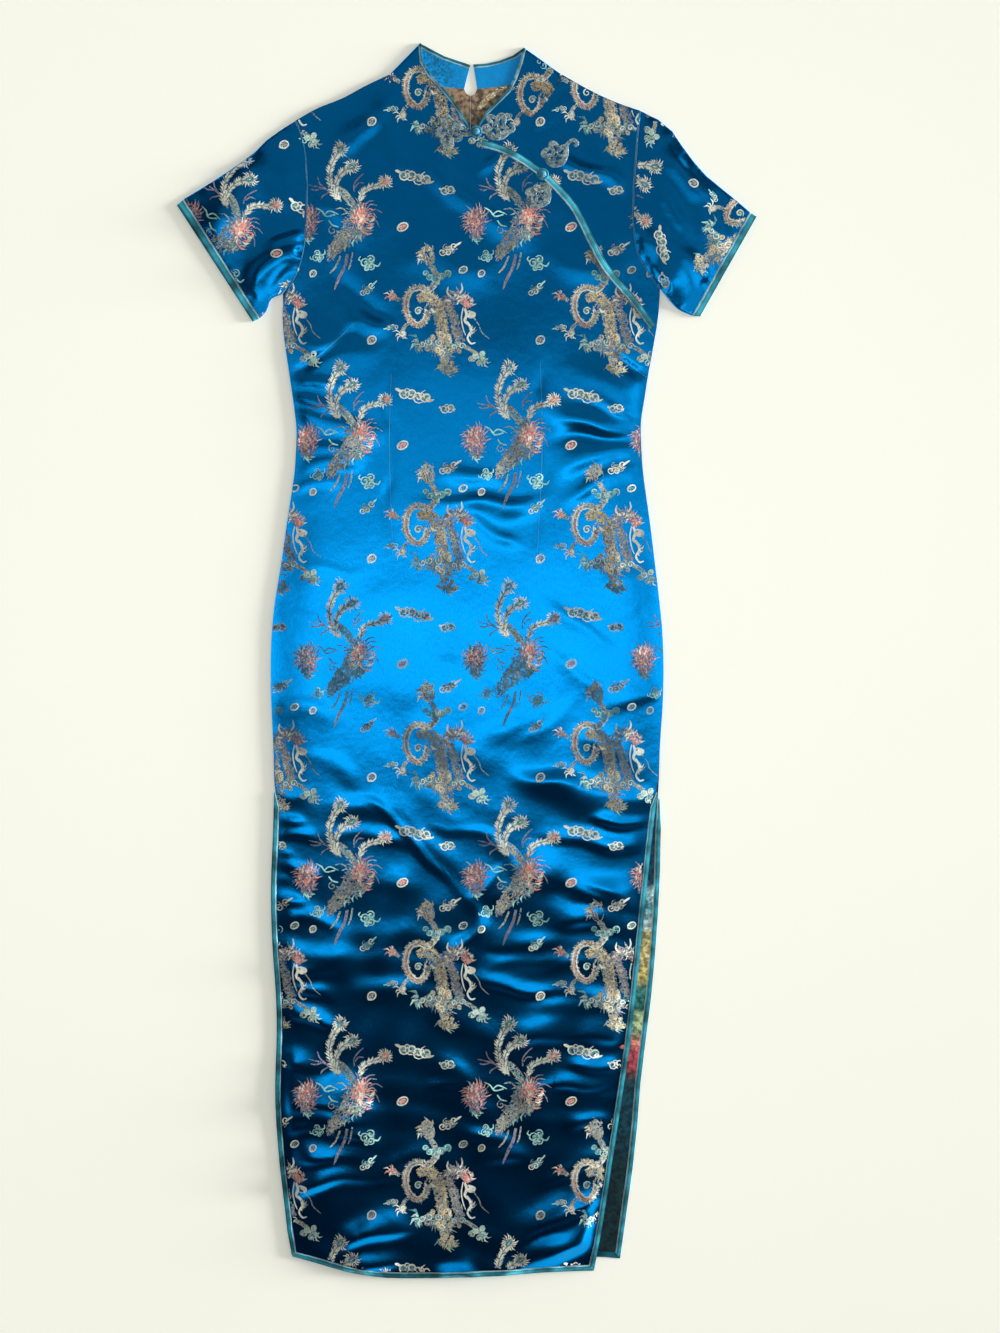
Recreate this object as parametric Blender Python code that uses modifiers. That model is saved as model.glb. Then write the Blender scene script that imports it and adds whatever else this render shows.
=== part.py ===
"""Short-sleeved cheongsam of figured satin, lying on its back with its front up.

The dress lies on the XY plane with its underside at Z = 0.  The collar points to +Y and
the hem to -Y, and the origin is the middle of the dress.  Left and right are as seen from
above.  Every panel is a thin wall: the two halves of the back rest on the ground, and the
front lies on them with its folds standing up.  The sleeves are tubes pressed flat, and
each half of the stand collar is a band folded at its tip.  Bindings continue the edges
they finish, and the flap piping and the frogs lie on the front.

The tables are in millimetres, and mm() turns them into metres.
"""

import math
from typing import NamedTuple

import bmesh
import bpy
from mathutils import Vector

MM = 0.001

# Walls and clearances
CLOTH = 1.2 * MM             # wall of a panel, with its backing
SEAM = 0.3 * MM              # clearance at each seam and between layers
UPPER = CLOTH + SEAM         # underside of a layer that lies on another one
FRONT_TOP = UPPER + CLOTH    # upper face of the front where it lies flat

# Trim
BINDING_WIDTH = 6.0 * MM
BINDING_WALL = 1.4 * MM
BINDING_CROWN = 0.3 * MM     # how far the middle of a binding stands over its edges
SLIT_START = 0.3             # where a slit's binding starts, down the slit's first row
COLLAR_BINDING_WIDTH = 4.0 * MM
CUFF_WALL = 1.3 * MM
PIPING_WIDTH = 8.0 * MM
CORD_RADIUS = 1.15 * MM
KNOT_RADIUS = 4.4 * MM
KNOT_SQUASH = 0.7            # height of a knot against its width
LOOP_POINTS = 16
COIL_START = 2.2 * MM        # radius at which a flower's coil begins
COIL_GAP = 1.1 * MM          # between the turns of a coil
COIL_STEPS = 15              # points a turn
PETALS = 5
PETAL_DEPTH = 0.07           # how far a petal stands out, against the coil's radius
STEM_POINTS = 5

# Puff of the front over the back
PUFF = 2.0 * MM
PUFF_EDGE = 75.0 * MM        # how far in from a side seam the puff is full
PUFF_TOP, PUFF_FADE = 440.0 * MM, 130.0 * MM
SLEEVE_PUFF = 2.6 * MM

# Mesh counts
FRONT_ROWS = 22              # above the slits, and as many beside them
BACK_ROWS = 11
SHOULDER_CELLS = 4
NECK_CELLS = 6
BACK_NECK_CELLS = 4
SLEEVE_STATIONS = 8
FOLD_POINTS = 3              # round a folded edge
CURVE_PARTS = 12             # between two places of an outline, before it is spaced evenly
OUTLINE_POINTS = 60          # along a hem, where its ends are looked for
SEAM_POINTS = 40             # down the centre back
HEM_CELLS = 22
PIPING_CELLS = 20
COLLAR_CELLS = 3             # up a collar


class Level(NamedTuple):
    """One cross-section of the body: its height and its edges, bindings included."""

    y: float
    left: float
    right: float
    back_left: float
    back_right: float


class Place(NamedTuple):
    """A point of an outline."""

    x: float
    y: float


class Fold(NamedTuple):
    """A ridge in the front: its two ends, its height and its half width."""

    x0: float
    y0: float
    x1: float
    y1: float
    height: float
    spread: float


class Coil(NamedTuple):
    """A coiled flower of a frog: its middle and its outer radius."""

    x: float
    y: float
    radius: float


class Frog(NamedTuple):
    """A frog: its name, its knot, how high the knot rests, and its two flowers."""

    name: str
    knot: Place
    rests_at: float
    flowers: tuple[Coil, Coil]


BODY = (
    Level(425, -209.5, 220.5, -209.5, 220.5),
    Level(388, -210.5, 218.0, -210.5, 218.0),
    Level(342, -204.5, 209.5, -204.5, 209.5),
    Level(297, -198.0, 202.5, -198.0, 202.5),
    Level(260, -193.0, 197.0, -193.0, 197.0),
    Level(217, -195.5, 200.5, -195.5, 200.5),
    Level(160, -204.5, 208.5, -204.5, 208.5),
    Level(115, -210.5, 214.0, -210.5, 214.0),
    Level(69, -218.5, 219.5, -218.5, 219.5),
    Level(23, -223.0, 224.0, -223.0, 224.0),
    Level(-45, -223.0, 224.0, -223.0, 224.0),
    Level(-91, -220.5, 220.5, -220.5, 220.5),
    Level(-144, -219.5, 218.0, -219.5, 219.0),
    Level(-194, -220.5, 212.0, -217.5, 221.5),
    Level(-262, -223.0, 205.0, -220.0, 219.5),
    Level(-319, -221.5, 199.0, -218.0, 216.0),
    Level(-387, -217.0, 192.0, -213.5, 210.0),
    Level(-433, -216.5, 186.5, -213.0, 204.0),
    Level(-478, -218.0, 180.0, -214.0, 198.5),
    Level(-524, -217.0, 173.0, -213.0, 195.0),
    Level(-581, -212.5, 164.5, -208.5, 189.0),
    Level(-615, -208.0, 159.0, -204.0, 184.0),
    Level(-661, -203.0, 151.5, -197.0, 178.0),
    Level(-702, -196.0, 144.0, -190.0, 173.0),
)
SLIT_TOP = -143.0

FRONT_HEM = (Place(-199, -679), Place(-167, -688), Place(-133, -697), Place(-93, -703),
             Place(-47, -703.5), Place(-2, -702), Place(50, -699.5), Place(95, -696.5),
             Place(145, -695.5))
BACK_HEM = (Place(-195, -669), Place(-93, -690), Place(-2, -688), Place(95, -681),
            Place(148, -680), Place(175, -682))

# Armhole seams, from the underarm up to the shoulder
LEFT_ARMHOLE = (Place(-209.5, 418), Place(-195.5, 437), Place(-186.5, 466), Place(-183, 504),
                Place(-182.5, 542), Place(-184.5, 578), Place(-189, 598), Place(-195.5, 615))
RIGHT_ARMHOLE = (Place(220.5, 424.5), Place(208, 441.5), Place(194, 467), Place(190, 504),
                 Place(191, 542), Place(193.5, 572), Place(195.5, 599), Place(198, 626.5))

# Shoulder and neck seams, from left to right; the back neck has the keyhole in its middle
LEFT_SHOULDER = (Place(-195.5, 615), Place(-176, 627.5), Place(-144, 639), Place(-115.5, 655),
                 Place(-88.5, 667.5))
RIGHT_SHOULDER = (Place(109, 667.5), Place(127, 657), Place(152, 643.5), Place(173, 634.5),
                  Place(198, 626.5))
LEFT_NECK = (Place(-88.5, 667.5), Place(-82.5, 648), Place(-70, 630), Place(-42.5, 607.5),
             Place(-13, 599), Place(8, 597))
RIGHT_NECK = (Place(13.5, 597), Place(35, 600), Place(64.5, 610.5), Place(89.5, 632),
              Place(102, 650.5), Place(109, 667.5))
LEFT_BACK_NECK = (Place(-88.5, 667.5), Place(-79, 665), Place(-58.5, 659.5), Place(-30, 654),
                  Place(-3, 651.5))
RIGHT_BACK_NECK = (Place(12, 651.5), Place(38, 654), Place(67, 659.5), Place(93, 665), Place(109, 667.5))
KEYHOLE = (Place(-3, 651.5), Place(-0.5, 646), Place(4.5, 643.5), Place(9.5, 646), Place(12, 651.5))
CENTRE_BACK = (Place(4.5, 643.5), Place(2, 250), Place(0, 0), Place(-10, -689))

# Top edge of each collar half, from the centre back to the tip and on to the centre front
LEFT_COLLAR_BACK = (Place(4, 679), Place(-9.5, 683.5), Place(-24.5, 688.5), Place(-39, 696), Place(-53, 704))
LEFT_COLLAR_FRONT = (Place(-53, 704), Place(-51.5, 686.5), Place(-41.5, 668.5), Place(-27, 653.5),
                     Place(-12, 634), Place(3, 608.5))
RIGHT_COLLAR_BACK = (Place(7.5, 679.5), Place(25.5, 681), Place(46, 686.5), Place(56, 692), Place(65, 699))
RIGHT_COLLAR_FRONT = (Place(65, 699), Place(60, 681), Place(53, 662), Place(43.5, 645.5),
                      Place(27, 632), Place(15, 612))

# Sleeve edges: along the top, along the underside, and the two ends of the cuff edge
LEFT_SLEEVE_TOP = (Place(-195.5, 615), Place(-224, 596.5), Place(-243.5, 578), Place(-282, 551),
                   Place(-322.5, 526))
LEFT_SLEEVE_LOW = (Place(-209.5, 418), Place(-223.5, 411.5), Place(-228, 399), Place(-235.5, 390))
LEFT_CUFF = (Place(-330.5, 519), Place(-244, 386))
RIGHT_SLEEVE_TOP = (Place(198, 626.5), Place(209, 622), Place(231, 607), Place(250, 580),
                    Place(272, 553.5), Place(299, 531.5), Place(323, 511))
RIGHT_SLEEVE_LOW = (Place(220.5, 424.5), Place(229, 413), Place(241, 400), Place(257, 393))
RIGHT_CUFF = (Place(330.5, 506), Place(266, 392))

FLAP_LINE = (Place(17, 589), Place(38, 583), Place(64.5, 569.5), Place(93, 548), Place(121.5, 517),
             Place(141, 479.5), Place(159, 446.5), Place(187.5, 413), Place(212, 380))

FOLDS = (
    Fold(-92, 639, -156, 582, 3.0, 15),
    Fold(-45, 566, 50, 492, 2.6, 17),
    Fold(-190, 372, -110, 335, 2.4, 18),
    Fold(205, 300, 120, 330, 2.4, 18),
    Fold(198, 263, 89, 283, 3.0, 17),
    Fold(198, 234, 107, 217, 2.4, 16),
    Fold(-193, 268, -104, 251, 2.6, 16),
    Fold(-193, 217, -121, 234, 2.2, 16),
    Fold(-42, 177, 78, 189, 2.4, 17),
    Fold(209, 69, 107, 23, 3.0, 18),
    Fold(215, -34, 61, -113, 3.4, 20),
    Fold(-222, -45, -121, -91, 2.6, 20),
    Fold(-93, -170, 6, -264, 4.2, 18),
    Fold(38, -227, 107, -159, 3.0, 18),
    Fold(8, -262, 2, -353, 3.0, 18),
    Fold(203, -159, 107, -250, 3.4, 20),
    Fold(193, -307, 84, -376, 3.6, 20),
    Fold(-218, -216, -121, -262, 3.4, 18),
    Fold(-215, -330, -121, -319, 4.0, 20),
    Fold(-212, -507, -133, -484, 4.0, 20),
    Fold(-203, -604, -121, -569, 3.2, 20),
    Fold(175, -421, 72, -490, 3.6, 20),
    Fold(-30, -444, 38, -558, 3.2, 20),
    Fold(152, -592, 61, -672, 3.6, 20),
    Fold(-156, -655, -42, -632, 3.2, 20),
)

FROGS = (
    Frog("neck", Place(10.8, 602.5), FRONT_TOP, (Coil(-20, 600, 14.0), Coil(34.5, 610, 12.5))),
    Frog("chest", Place(86.5, 553.5), FRONT_TOP + SEAM + BINDING_WALL + BINDING_CROWN,
         (Coil(101, 578, 13.5), Coil(79, 530, 12.5))),
)

BROCADE = ("brocade", (0.004, 0.13, 0.42, 1.0), 0.38)
SATIN = ("satin", (0.02, 0.22, 0.33, 1.0), 0.34)
CORD = ("cord", (0.11, 0.23, 0.28, 1.0), 0.5)


def mm(place: Place) -> Vector:
    """Return a table's point in metres, on the ground."""
    return Vector((place.x * MM, place.y * MM, 0.0))


def smooth(low: float, high: float, at: float) -> float:
    """Return a soft step from 0 at low to 1 at high."""
    step = min(1.0, max(0.0, (at - low) / (high - low)))
    return step * step * (3.0 - 2.0 * step)


def cubic(before: float, start: float, end: float, after: float, step: float) -> float:
    """Return a Catmull-Rom value between start and end."""
    return 0.5 * (2 * start + (end - before) * step + (2 * before - 5 * start + 4 * end - after) * step ** 2
                  + (3 * start - before - 3 * end + after) * step ** 3)


def body_edge(column: str, y: float) -> Vector:
    """Return the point of one edge column of BODY at a height in metres."""
    height = y / MM
    last = len(BODY) - 2
    row = next((i for i in range(last + 1) if BODY[i + 1].y <= height), last)
    step = (height - BODY[row].y) / (BODY[row + 1].y - BODY[row].y)
    values = [getattr(BODY[min(max(i, 0), last + 1)], column) for i in range(row - 1, row + 3)]
    return Vector((cubic(*values, step) * MM, y, 0.0))


def along(places: tuple[Place, ...], count: int) -> list[Vector]:
    """Return count + 1 evenly spaced points on the smooth curve through some places."""
    knots = [mm(place) for place in places]
    knots = [2 * knots[0] - knots[1]] + knots + [2 * knots[-1] - knots[-2]]
    fine = []
    for i in range(1, len(knots) - 2):
        around = knots[i - 1:i + 3]
        for part in range(CURVE_PARTS):
            fine.append(Vector([cubic(*(knot[axis] for knot in around), part / CURVE_PARTS)
                                for axis in range(3)]))
    fine.append(knots[-2])
    return evenly(fine, count)


def evenly(points: list[Vector], count: int) -> list[Vector]:
    """Return count + 1 points spaced evenly along a polyline."""
    lengths = [0.0]
    for start, end in zip(points, points[1:]):
        lengths.append(lengths[-1] + (end - start).length)
    spaced = []
    i = 0
    for step in range(count + 1):
        target = lengths[-1] * step / count
        while i < len(points) - 2 and lengths[i + 1] < target:
            i += 1
        share = (target - lengths[i]) / (lengths[i + 1] - lengths[i])
        spaced.append(points[i].lerp(points[i + 1], share))
    return spaced


def shifted(points: list[Vector], distance: float) -> list[Vector]:
    """Return a polyline moved sideways in the plane, to its left for a positive distance."""
    moved = []
    for i, point in enumerate(points):
        before = (point - points[i - 1]).normalized() if i else (points[1] - point).normalized()
        after = (points[i + 1] - point).normalized() if i + 1 < len(points) else before
        side = Vector((-(before.y + after.y), before.x + after.x, 0.0)).normalized()
        mitre = max(0.5, side.dot(Vector((-before.y, before.x, 0.0))))
        moved.append(point + side * distance / mitre)
    return moved


def fold_height(fold: Fold, x: float, y: float) -> float:
    """Return the height of one fold over a point: a ridge that fades at both ends."""
    start, end = Vector((fold.x0, fold.y0)) * MM, Vector((fold.x1, fold.y1)) * MM
    run = end - start
    step = (Vector((x, y)) - start).dot(run) / run.length_squared
    off = (Vector((x, y)) - start - run * step).length / (fold.spread * MM)
    fade = smooth(-0.25, 0.3, step) * smooth(1.25, 0.7, step)
    return fold.height * MM * fade * math.exp(-off * off)


def rise(point: Vector) -> float:
    """Return how far the front stands over its flat height at a point."""
    left, right = body_edge("left", point.y).x, body_edge("right", point.y).x
    inward = min(point.x - left, right - point.x)
    puff = PUFF * smooth(0.0, PUFF_EDGE, inward) * smooth(PUFF_TOP, PUFF_TOP - PUFF_FADE, point.y)
    return puff + sum(fold_height(fold, point.x, point.y) for fold in FOLDS)


def lifted(point: Vector, height: float) -> Vector:
    """Return a point at a height over the ground."""
    return Vector((point.x, point.y, height))


def colour(obj: bpy.types.Object, finish: tuple[str, tuple, float]) -> None:
    """Give a piece its own material."""
    material = bpy.data.materials.new(f"{obj.name}_{finish[0]}")
    material.use_nodes = True
    shader = material.node_tree.nodes["Principled BSDF"]
    shader.inputs["Base Color"].default_value = finish[1]
    shader.inputs["Roughness"].default_value = finish[2]
    shader.inputs["Metallic"].default_value = 0.0
    obj.data.materials.append(material)


def loft(name: str, rows: list[list[Vector]], finish: tuple, wall: float = CLOTH, side: float = 1.0,
         ring: bool = False) -> bpy.types.Object:
    """Make a piece: a surface through rows of points, given a wall by Solidify.

    side is 1 where the rows are the wall's underside and 0 where they are its middle.
    ring closes each row, for a tube.
    """
    bm = bmesh.new()
    grid = [[bm.verts.new(point) for point in row] for row in rows]
    count = len(rows[0])
    for near, far in zip(grid, grid[1:]):
        for i in range(count if ring else count - 1):
            after = (i + 1) % count
            bm.faces.new((near[i], near[after], far[after], far[i]))
    mesh = bpy.data.meshes.new(name)
    bm.to_mesh(mesh)
    bm.free()
    mesh.shade_smooth()
    obj = bpy.data.objects.new(name, mesh)
    DRESS.objects.link(obj)
    solidify = obj.modifiers.new("Wall", "SOLIDIFY")
    solidify.thickness = wall
    solidify.offset = side
    colour(obj, finish)
    return obj


def edge_inset(y: float) -> float:
    """Return how far a panel stops short of the slit's edge, for the binding and its seam."""
    return (BINDING_WIDTH + SEAM) if y < (SLIT_TOP - 1) * MM else 0.0


def inset_point(column: str, y: float, sign: float) -> Vector:
    """Return a panel's edge point, inside the binding where the slit is open."""
    point = body_edge(column, y)
    point.x += sign * edge_inset(y)
    return point


def blended(left: list[Vector], right: list[Vector], top: list[Vector], top_rows: int,
            low: list[Vector], low_rows: int) -> list[list[Vector]]:
    """Return rows of points between two edges, bent to meet a top and a bottom curve.

    left and right run from the bottom up.  The last top_rows rows take up the shape of the
    top curve, and the first low_rows rows that of the bottom curve.
    """
    last = len(left) - 1
    columns = len(top) - 1
    rows = []
    for j, (start, end) in enumerate(zip(left, right)):
        up = max(0.0, (j - (last - top_rows)) / top_rows)
        down = max(0.0, 1.0 - j / low_rows)
        row = []
        for i in range(columns + 1):
            share = i / columns
            point = start.lerp(end, share)
            point += (top[i] - top[0].lerp(top[-1], share)) * up
            point += (low[i] - low[0].lerp(low[-1], share)) * down
            row.append(point)
        rows.append(row)
    return rows


def slit_levels(low: float, count: int) -> list[float]:
    """Return the heights of the rows beside a slit, from the hem's corner up to below its top."""
    return [low + (SLIT_TOP * MM - low) * j / count for j in range(count)]


def side_points(column: str, low: float, high: float, count: int, sign: float) -> list[Vector]:
    """Return the points of one body edge, from the hem's corner to below the underarm."""
    top = SLIT_TOP * MM
    levels = slit_levels(low, count) + [top + (high - top) * j / count for j in range(count)]
    return [inset_point(column, y, sign) for y in levels]


def hem_points(hem: tuple[Place, ...], left: Vector, right: Vector, count: int) -> list[Vector]:
    """Return a panel's bottom edge: the hem line raised by its binding, between two corners."""
    line = shifted(along(hem, OUTLINE_POINTS), BINDING_WIDTH + SEAM)
    inner = [point for point in line if left.x < point.x < right.x]
    return evenly([left] + inner + [right], count)


def hem_corner(hem: tuple[Place, ...], column: str, sign: float) -> Vector:
    """Return a corner of a panel, where its side meets the inside of the hem binding."""
    line = shifted(along(hem, OUTLINE_POINTS), BINDING_WIDTH + SEAM)
    gaps = [(abs(point.x - inset_point(column, point.y, sign).x), i) for i, point in enumerate(line)]
    return inset_point(column, line[min(gaps)[1]].y, sign)


def make_front() -> None:
    """Make the front, one piece from the shoulders to the hem."""
    left_corner = hem_corner(FRONT_HEM, "left", 1.0)
    right_corner = hem_corner(FRONT_HEM, "right", -1.0)
    armhole = (list(map(mm, LEFT_ARMHOLE)), list(map(mm, RIGHT_ARMHOLE)))
    left = side_points("left", left_corner.y, armhole[0][0].y, FRONT_ROWS, 1.0) + armhole[0]
    right = side_points("right", right_corner.y, armhole[1][0].y, FRONT_ROWS, -1.0) + armhole[1]
    top = (along(LEFT_SHOULDER, SHOULDER_CELLS) + along(LEFT_NECK, NECK_CELLS)[1:]
           + along(RIGHT_NECK, NECK_CELLS) + along(RIGHT_SHOULDER, SHOULDER_CELLS)[1:])
    low = hem_points(FRONT_HEM, left_corner, right_corner, len(top) - 1)
    rows = blended(left, right, top, len(armhole[0]) - 1, low, FRONT_ROWS // 2)
    loft("front", [[lifted(point, UPPER + rise(point)) for point in row] for row in rows], BROCADE)


def make_back() -> None:
    """Make the two halves of the back, which meet at the centre seam below the keyhole."""
    keyhole = list(map(mm, KEYHOLE))
    middle = len(keyhole) // 2
    for side in ("left", "right"):
        sign = 1.0 if side == "left" else -1.0
        column = f"back_{side}"
        corner = hem_corner(BACK_HEM, column, sign)
        armhole = list(map(mm, LEFT_ARMHOLE if side == "left" else RIGHT_ARMHOLE))
        outer = side_points(column, corner.y, armhole[0].y, BACK_ROWS, sign) + armhole
        seam = along(CENTRE_BACK, SEAM_POINTS)
        foot = hem_points(BACK_HEM, hem_corner(BACK_HEM, "back_left", 1.0),
                          hem_corner(BACK_HEM, "back_right", -1.0), OUTLINE_POINTS)
        base = min(foot, key=lambda point: abs(point.x - seam[-1].x))
        above = [point for point in reversed(seam) if point.y > base.y + 5 * MM]
        inner = evenly([lifted(base, 0.0)] + above, len(outer) - 1)
        inner = [point - Vector((sign * SEAM / 2, 0.0, 0.0)) for point in inner]
        if side == "left":
            top = (along(LEFT_SHOULDER, SHOULDER_CELLS) + along(LEFT_BACK_NECK, BACK_NECK_CELLS)[1:]
                   + keyhole[1:middle] + [inner[-1]])
            low = hem_points(BACK_HEM, corner, inner[0], len(top) - 1)
            rows = blended(outer, inner, top, len(armhole) - 1, low, BACK_ROWS // 2)
        else:
            top = ([inner[-1]] + keyhole[middle + 1:] + along(RIGHT_BACK_NECK, BACK_NECK_CELLS)[1:]
                   + along(RIGHT_SHOULDER, SHOULDER_CELLS)[1:])
            low = hem_points(BACK_HEM, inner[0], corner, len(top) - 1)
            rows = blended(inner, outer, top, len(armhole) - 1, low, BACK_ROWS // 2)
        loft(f"back_{side}", rows, BROCADE)


def sleeve_line(seam: list[Vector], top: Vector, low: Vector, share: float) -> list[Vector]:
    """Return one cross-section of a sleeve in plan, from its top edge to its low edge.

    share is the way from the armhole to the cuff: the armhole's curve fades out along it.
    """
    last = len(seam) - 1
    fade = (1.0 - share) ** 3
    line = []
    for i, point in enumerate(seam):
        bulge = point - seam[0].lerp(seam[-1], i / last)
        line.append(top.lerp(low, i / last) + bulge * fade)
    return line


def pressed_ring(line: list[Vector], wall: float, puff: list[float]) -> list[Vector]:
    """Return the middle of a flat tube's wall round one cross-section.

    line runs across the tube in plan, from one folded edge to the other.
    """
    radius = (wall + SEAM) / 2
    reach = radius + wall / 2
    inward = (line[1] - line[0]).normalized(), (line[-2] - line[-1]).normalized()
    inner = [line[0] + inward[0] * reach] + line[1:-1] + [line[-1] + inward[1] * reach]
    ring = [lifted(point, 2 * radius + wall / 2 + height) for point, height in zip(inner, puff)]
    for centre, out, turn in ((inner[-1], -inward[1], 1.0), (inner[0], -inward[0], -1.0)):
        for part in range(1, FOLD_POINTS + 1):
            angle = math.pi * part / (FOLD_POINTS + 1)
            height = radius + wall / 2 + turn * radius * math.cos(angle)
            ring.append(lifted(centre + out * radius * math.sin(angle), height))
        if turn > 0:
            ring += [lifted(point, wall / 2) for point in reversed(inner)]
    return ring


def make_sleeve(side: str) -> None:
    """Make a sleeve, a tube pressed flat from its armhole to its cuff, and the cuff's binding."""
    left = side == "left"
    armhole = list(map(mm, LEFT_ARMHOLE if left else RIGHT_ARMHOLE))[::-1]
    seam = shifted(armhole, -SEAM if left else SEAM)
    top = along(LEFT_SLEEVE_TOP if left else RIGHT_SLEEVE_TOP, SLEEVE_STATIONS)
    low = along(LEFT_SLEEVE_LOW if left else RIGHT_SLEEVE_LOW, SLEEVE_STATIONS)
    hem = list(map(mm, LEFT_CUFF if left else RIGHT_CUFF))
    seam[-1] += (low[1] - low[0]).normalized() * CLOTH
    top[0], low[0] = seam[0], seam[-1]
    rows = []
    for station in range(SLEEVE_STATIONS + 1):
        share = station / SLEEVE_STATIONS
        line = sleeve_line(seam, top[station], low[station], share)
        puff = [SLEEVE_PUFF * smooth(-0.2, 0.3, share) * smooth(1.1, 0.6, share)
                * math.sin(math.pi * cell / (len(seam) - 1)) for cell in range(len(seam))]
        rows.append(pressed_ring(line, CLOTH, puff))
    loft(f"sleeve_{side}", rows if left else rows[::-1], BROCADE, side=0.0, ring=True)

    out = (hem[0] - top[-1]).normalized() * SEAM
    bound = []
    for share in (0.0, 0.5, 1.0):
        gap = out * (1 - share)
        bound.append(evenly([top[-1].lerp(hem[0], share) + gap, low[-1].lerp(hem[1], share) + gap],
                            len(seam) - 1))
    flat = [0.0] * len(seam)
    rows = [pressed_ring(line, CUFF_WALL, flat) for line in bound]
    loft(f"cuff_binding_{side}", rows if left else rows[::-1], SATIN, wall=CUFF_WALL, side=0.0, ring=True)


def collar_row(neck: Vector, top: Vector, height: float) -> tuple[Vector, Vector]:
    """Return the neck and top points of one section of a collar, at a height."""
    return lifted(neck, height), lifted(top, height)


def make_collar(side: str) -> None:
    """Make half of the stand collar and the binding of its top edge.

    The half runs from the centre back, under the tip's fold, to the centre front.
    """
    left = side == "left"
    lower, upper = CLOTH / 2, UPPER + CLOTH / 2
    radius = (upper - lower) / 2
    neck_back = along(LEFT_BACK_NECK if left else RIGHT_BACK_NECK, BACK_NECK_CELLS)
    neck_front = along(LEFT_NECK if left else RIGHT_NECK, NECK_CELLS)
    if left:
        neck_back = neck_back[::-1]
    else:
        neck_front = neck_front[::-1]
    top_back = along(LEFT_COLLAR_BACK if left else RIGHT_COLLAR_BACK, BACK_NECK_CELLS)
    top_front = along(LEFT_COLLAR_FRONT if left else RIGHT_COLLAR_FRONT, NECK_CELLS)
    run = (top_back[-1] - neck_back[-1]).normalized()
    out = Vector((-run.y, run.x, 0.0)) if left else Vector((run.y, -run.x, 0.0))
    sections = [collar_row(neck, top, lower) for neck, top in zip(neck_back[:-1], top_back[:-1])]
    for part in range(FOLD_POINTS + 2):
        angle = math.pi * part / (FOLD_POINTS + 1)
        push = out * (radius * math.sin(angle) - radius - CLOTH / 2)
        height = (lower + upper) / 2 - radius * math.cos(angle)
        foot = neck_back[-1] + run * (radius + CLOTH)
        sections.append(collar_row(foot + push, top_back[-1] + push, height))
    sections += [collar_row(neck, top, upper) for neck, top in zip(neck_front[1:], top_front[1:])]

    band, bound = [], []
    for neck, top in sections:
        up = (top - neck).normalized()
        foot, head = neck + up * SEAM, top - up * (COLLAR_BINDING_WIDTH + SEAM)
        band.append([foot.lerp(head, step / COLLAR_CELLS) for step in range(COLLAR_CELLS + 1)])
        bound.append([head + up * SEAM, top])
    if not left:
        band, bound = band[::-1], bound[::-1]
    loft(f"collar_{side}", band, BROCADE, side=0.0)
    loft(f"collar_binding_{side}", bound, SATIN, side=0.0)


def strip(name: str, inner: list[Vector], outer: list[Vector], height, wall: float, crown: float) -> None:
    """Make a binding or piping: a strip between two lines, with a soft crown along its middle."""
    rows = []
    for near, far in zip(inner, outer):
        middle = near.lerp(far, 0.5)
        rows.append([lifted(near, height(near)), lifted(middle, height(middle) + crown),
                     lifted(far, height(far))])
    loft(name, rows, SATIN, wall=wall)


def make_bindings(layer: str) -> None:
    """Make the three bindings of the front or the back: two slits and the hem between them."""
    front = layer == "front"
    hem = FRONT_HEM if front else BACK_HEM
    columns = ("left", "right") if front else ("back_left", "back_right")
    wall, crown = (BINDING_WALL, BINDING_CROWN) if front else (CLOTH, 0.0)

    def height(point: Vector) -> float:
        return UPPER + rise(point) if front else 0.0

    line = along(hem, HEM_CELLS)
    corner_in, corner_out = [], []
    for column, sign in zip(columns, (1.0, -1.0)):
        outside = line[0] if sign > 0 else line[-1]
        panel = hem_corner(hem, column, sign)
        inside = panel + Vector((-sign, -1.0, 0.0)) * SEAM
        corner_in.append(inside)
        corner_out.append(outside)
        levels = slit_levels(panel.y, FRONT_ROWS if front else BACK_ROWS)[:0:-1]
        outer = [body_edge(column, y) for y in levels]
        outer.insert(0, body_edge(column, SLIT_TOP * MM).lerp(outer[0], SLIT_START))
        widths = [(BINDING_WIDTH + SEAM) * SLIT_START - SEAM] + [BINDING_WIDTH] * len(levels)
        inner = [edge + Vector((sign * width, 0.0, 0.0)) for edge, width in zip(outer, widths)]
        mitre = Vector((0.0, SEAM, 0.0))
        inner, outer = inner + [inside + mitre], outer + [outside + mitre]
        pair = (outer, inner) if sign > 0 else (inner, outer)
        side = "left" if sign > 0 else "right"
        strip(f"{layer}_slit_binding_{side}", pair[1], pair[0], height, wall, crown)
    inner = [p for p in shifted(along(hem, OUTLINE_POINTS), BINDING_WIDTH)
             if corner_in[0].x + 4 * MM < p.x < corner_in[1].x - 4 * MM]
    inner = evenly([corner_in[0]] + inner + [corner_in[1]], len(line) - 1)
    strip(f"{layer}_hem_binding", inner, line, height, wall, crown)


def make_piping() -> None:
    """Make the piping of the flap line, laid on the front."""
    middle = along(FLAP_LINE, PIPING_CELLS)
    strip("flap_piping", shifted(middle, PIPING_WIDTH / 2), shifted(middle, -PIPING_WIDTH / 2),
          lambda point: FRONT_TOP + SEAM + rise(point), BINDING_WALL, BINDING_CROWN)


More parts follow.
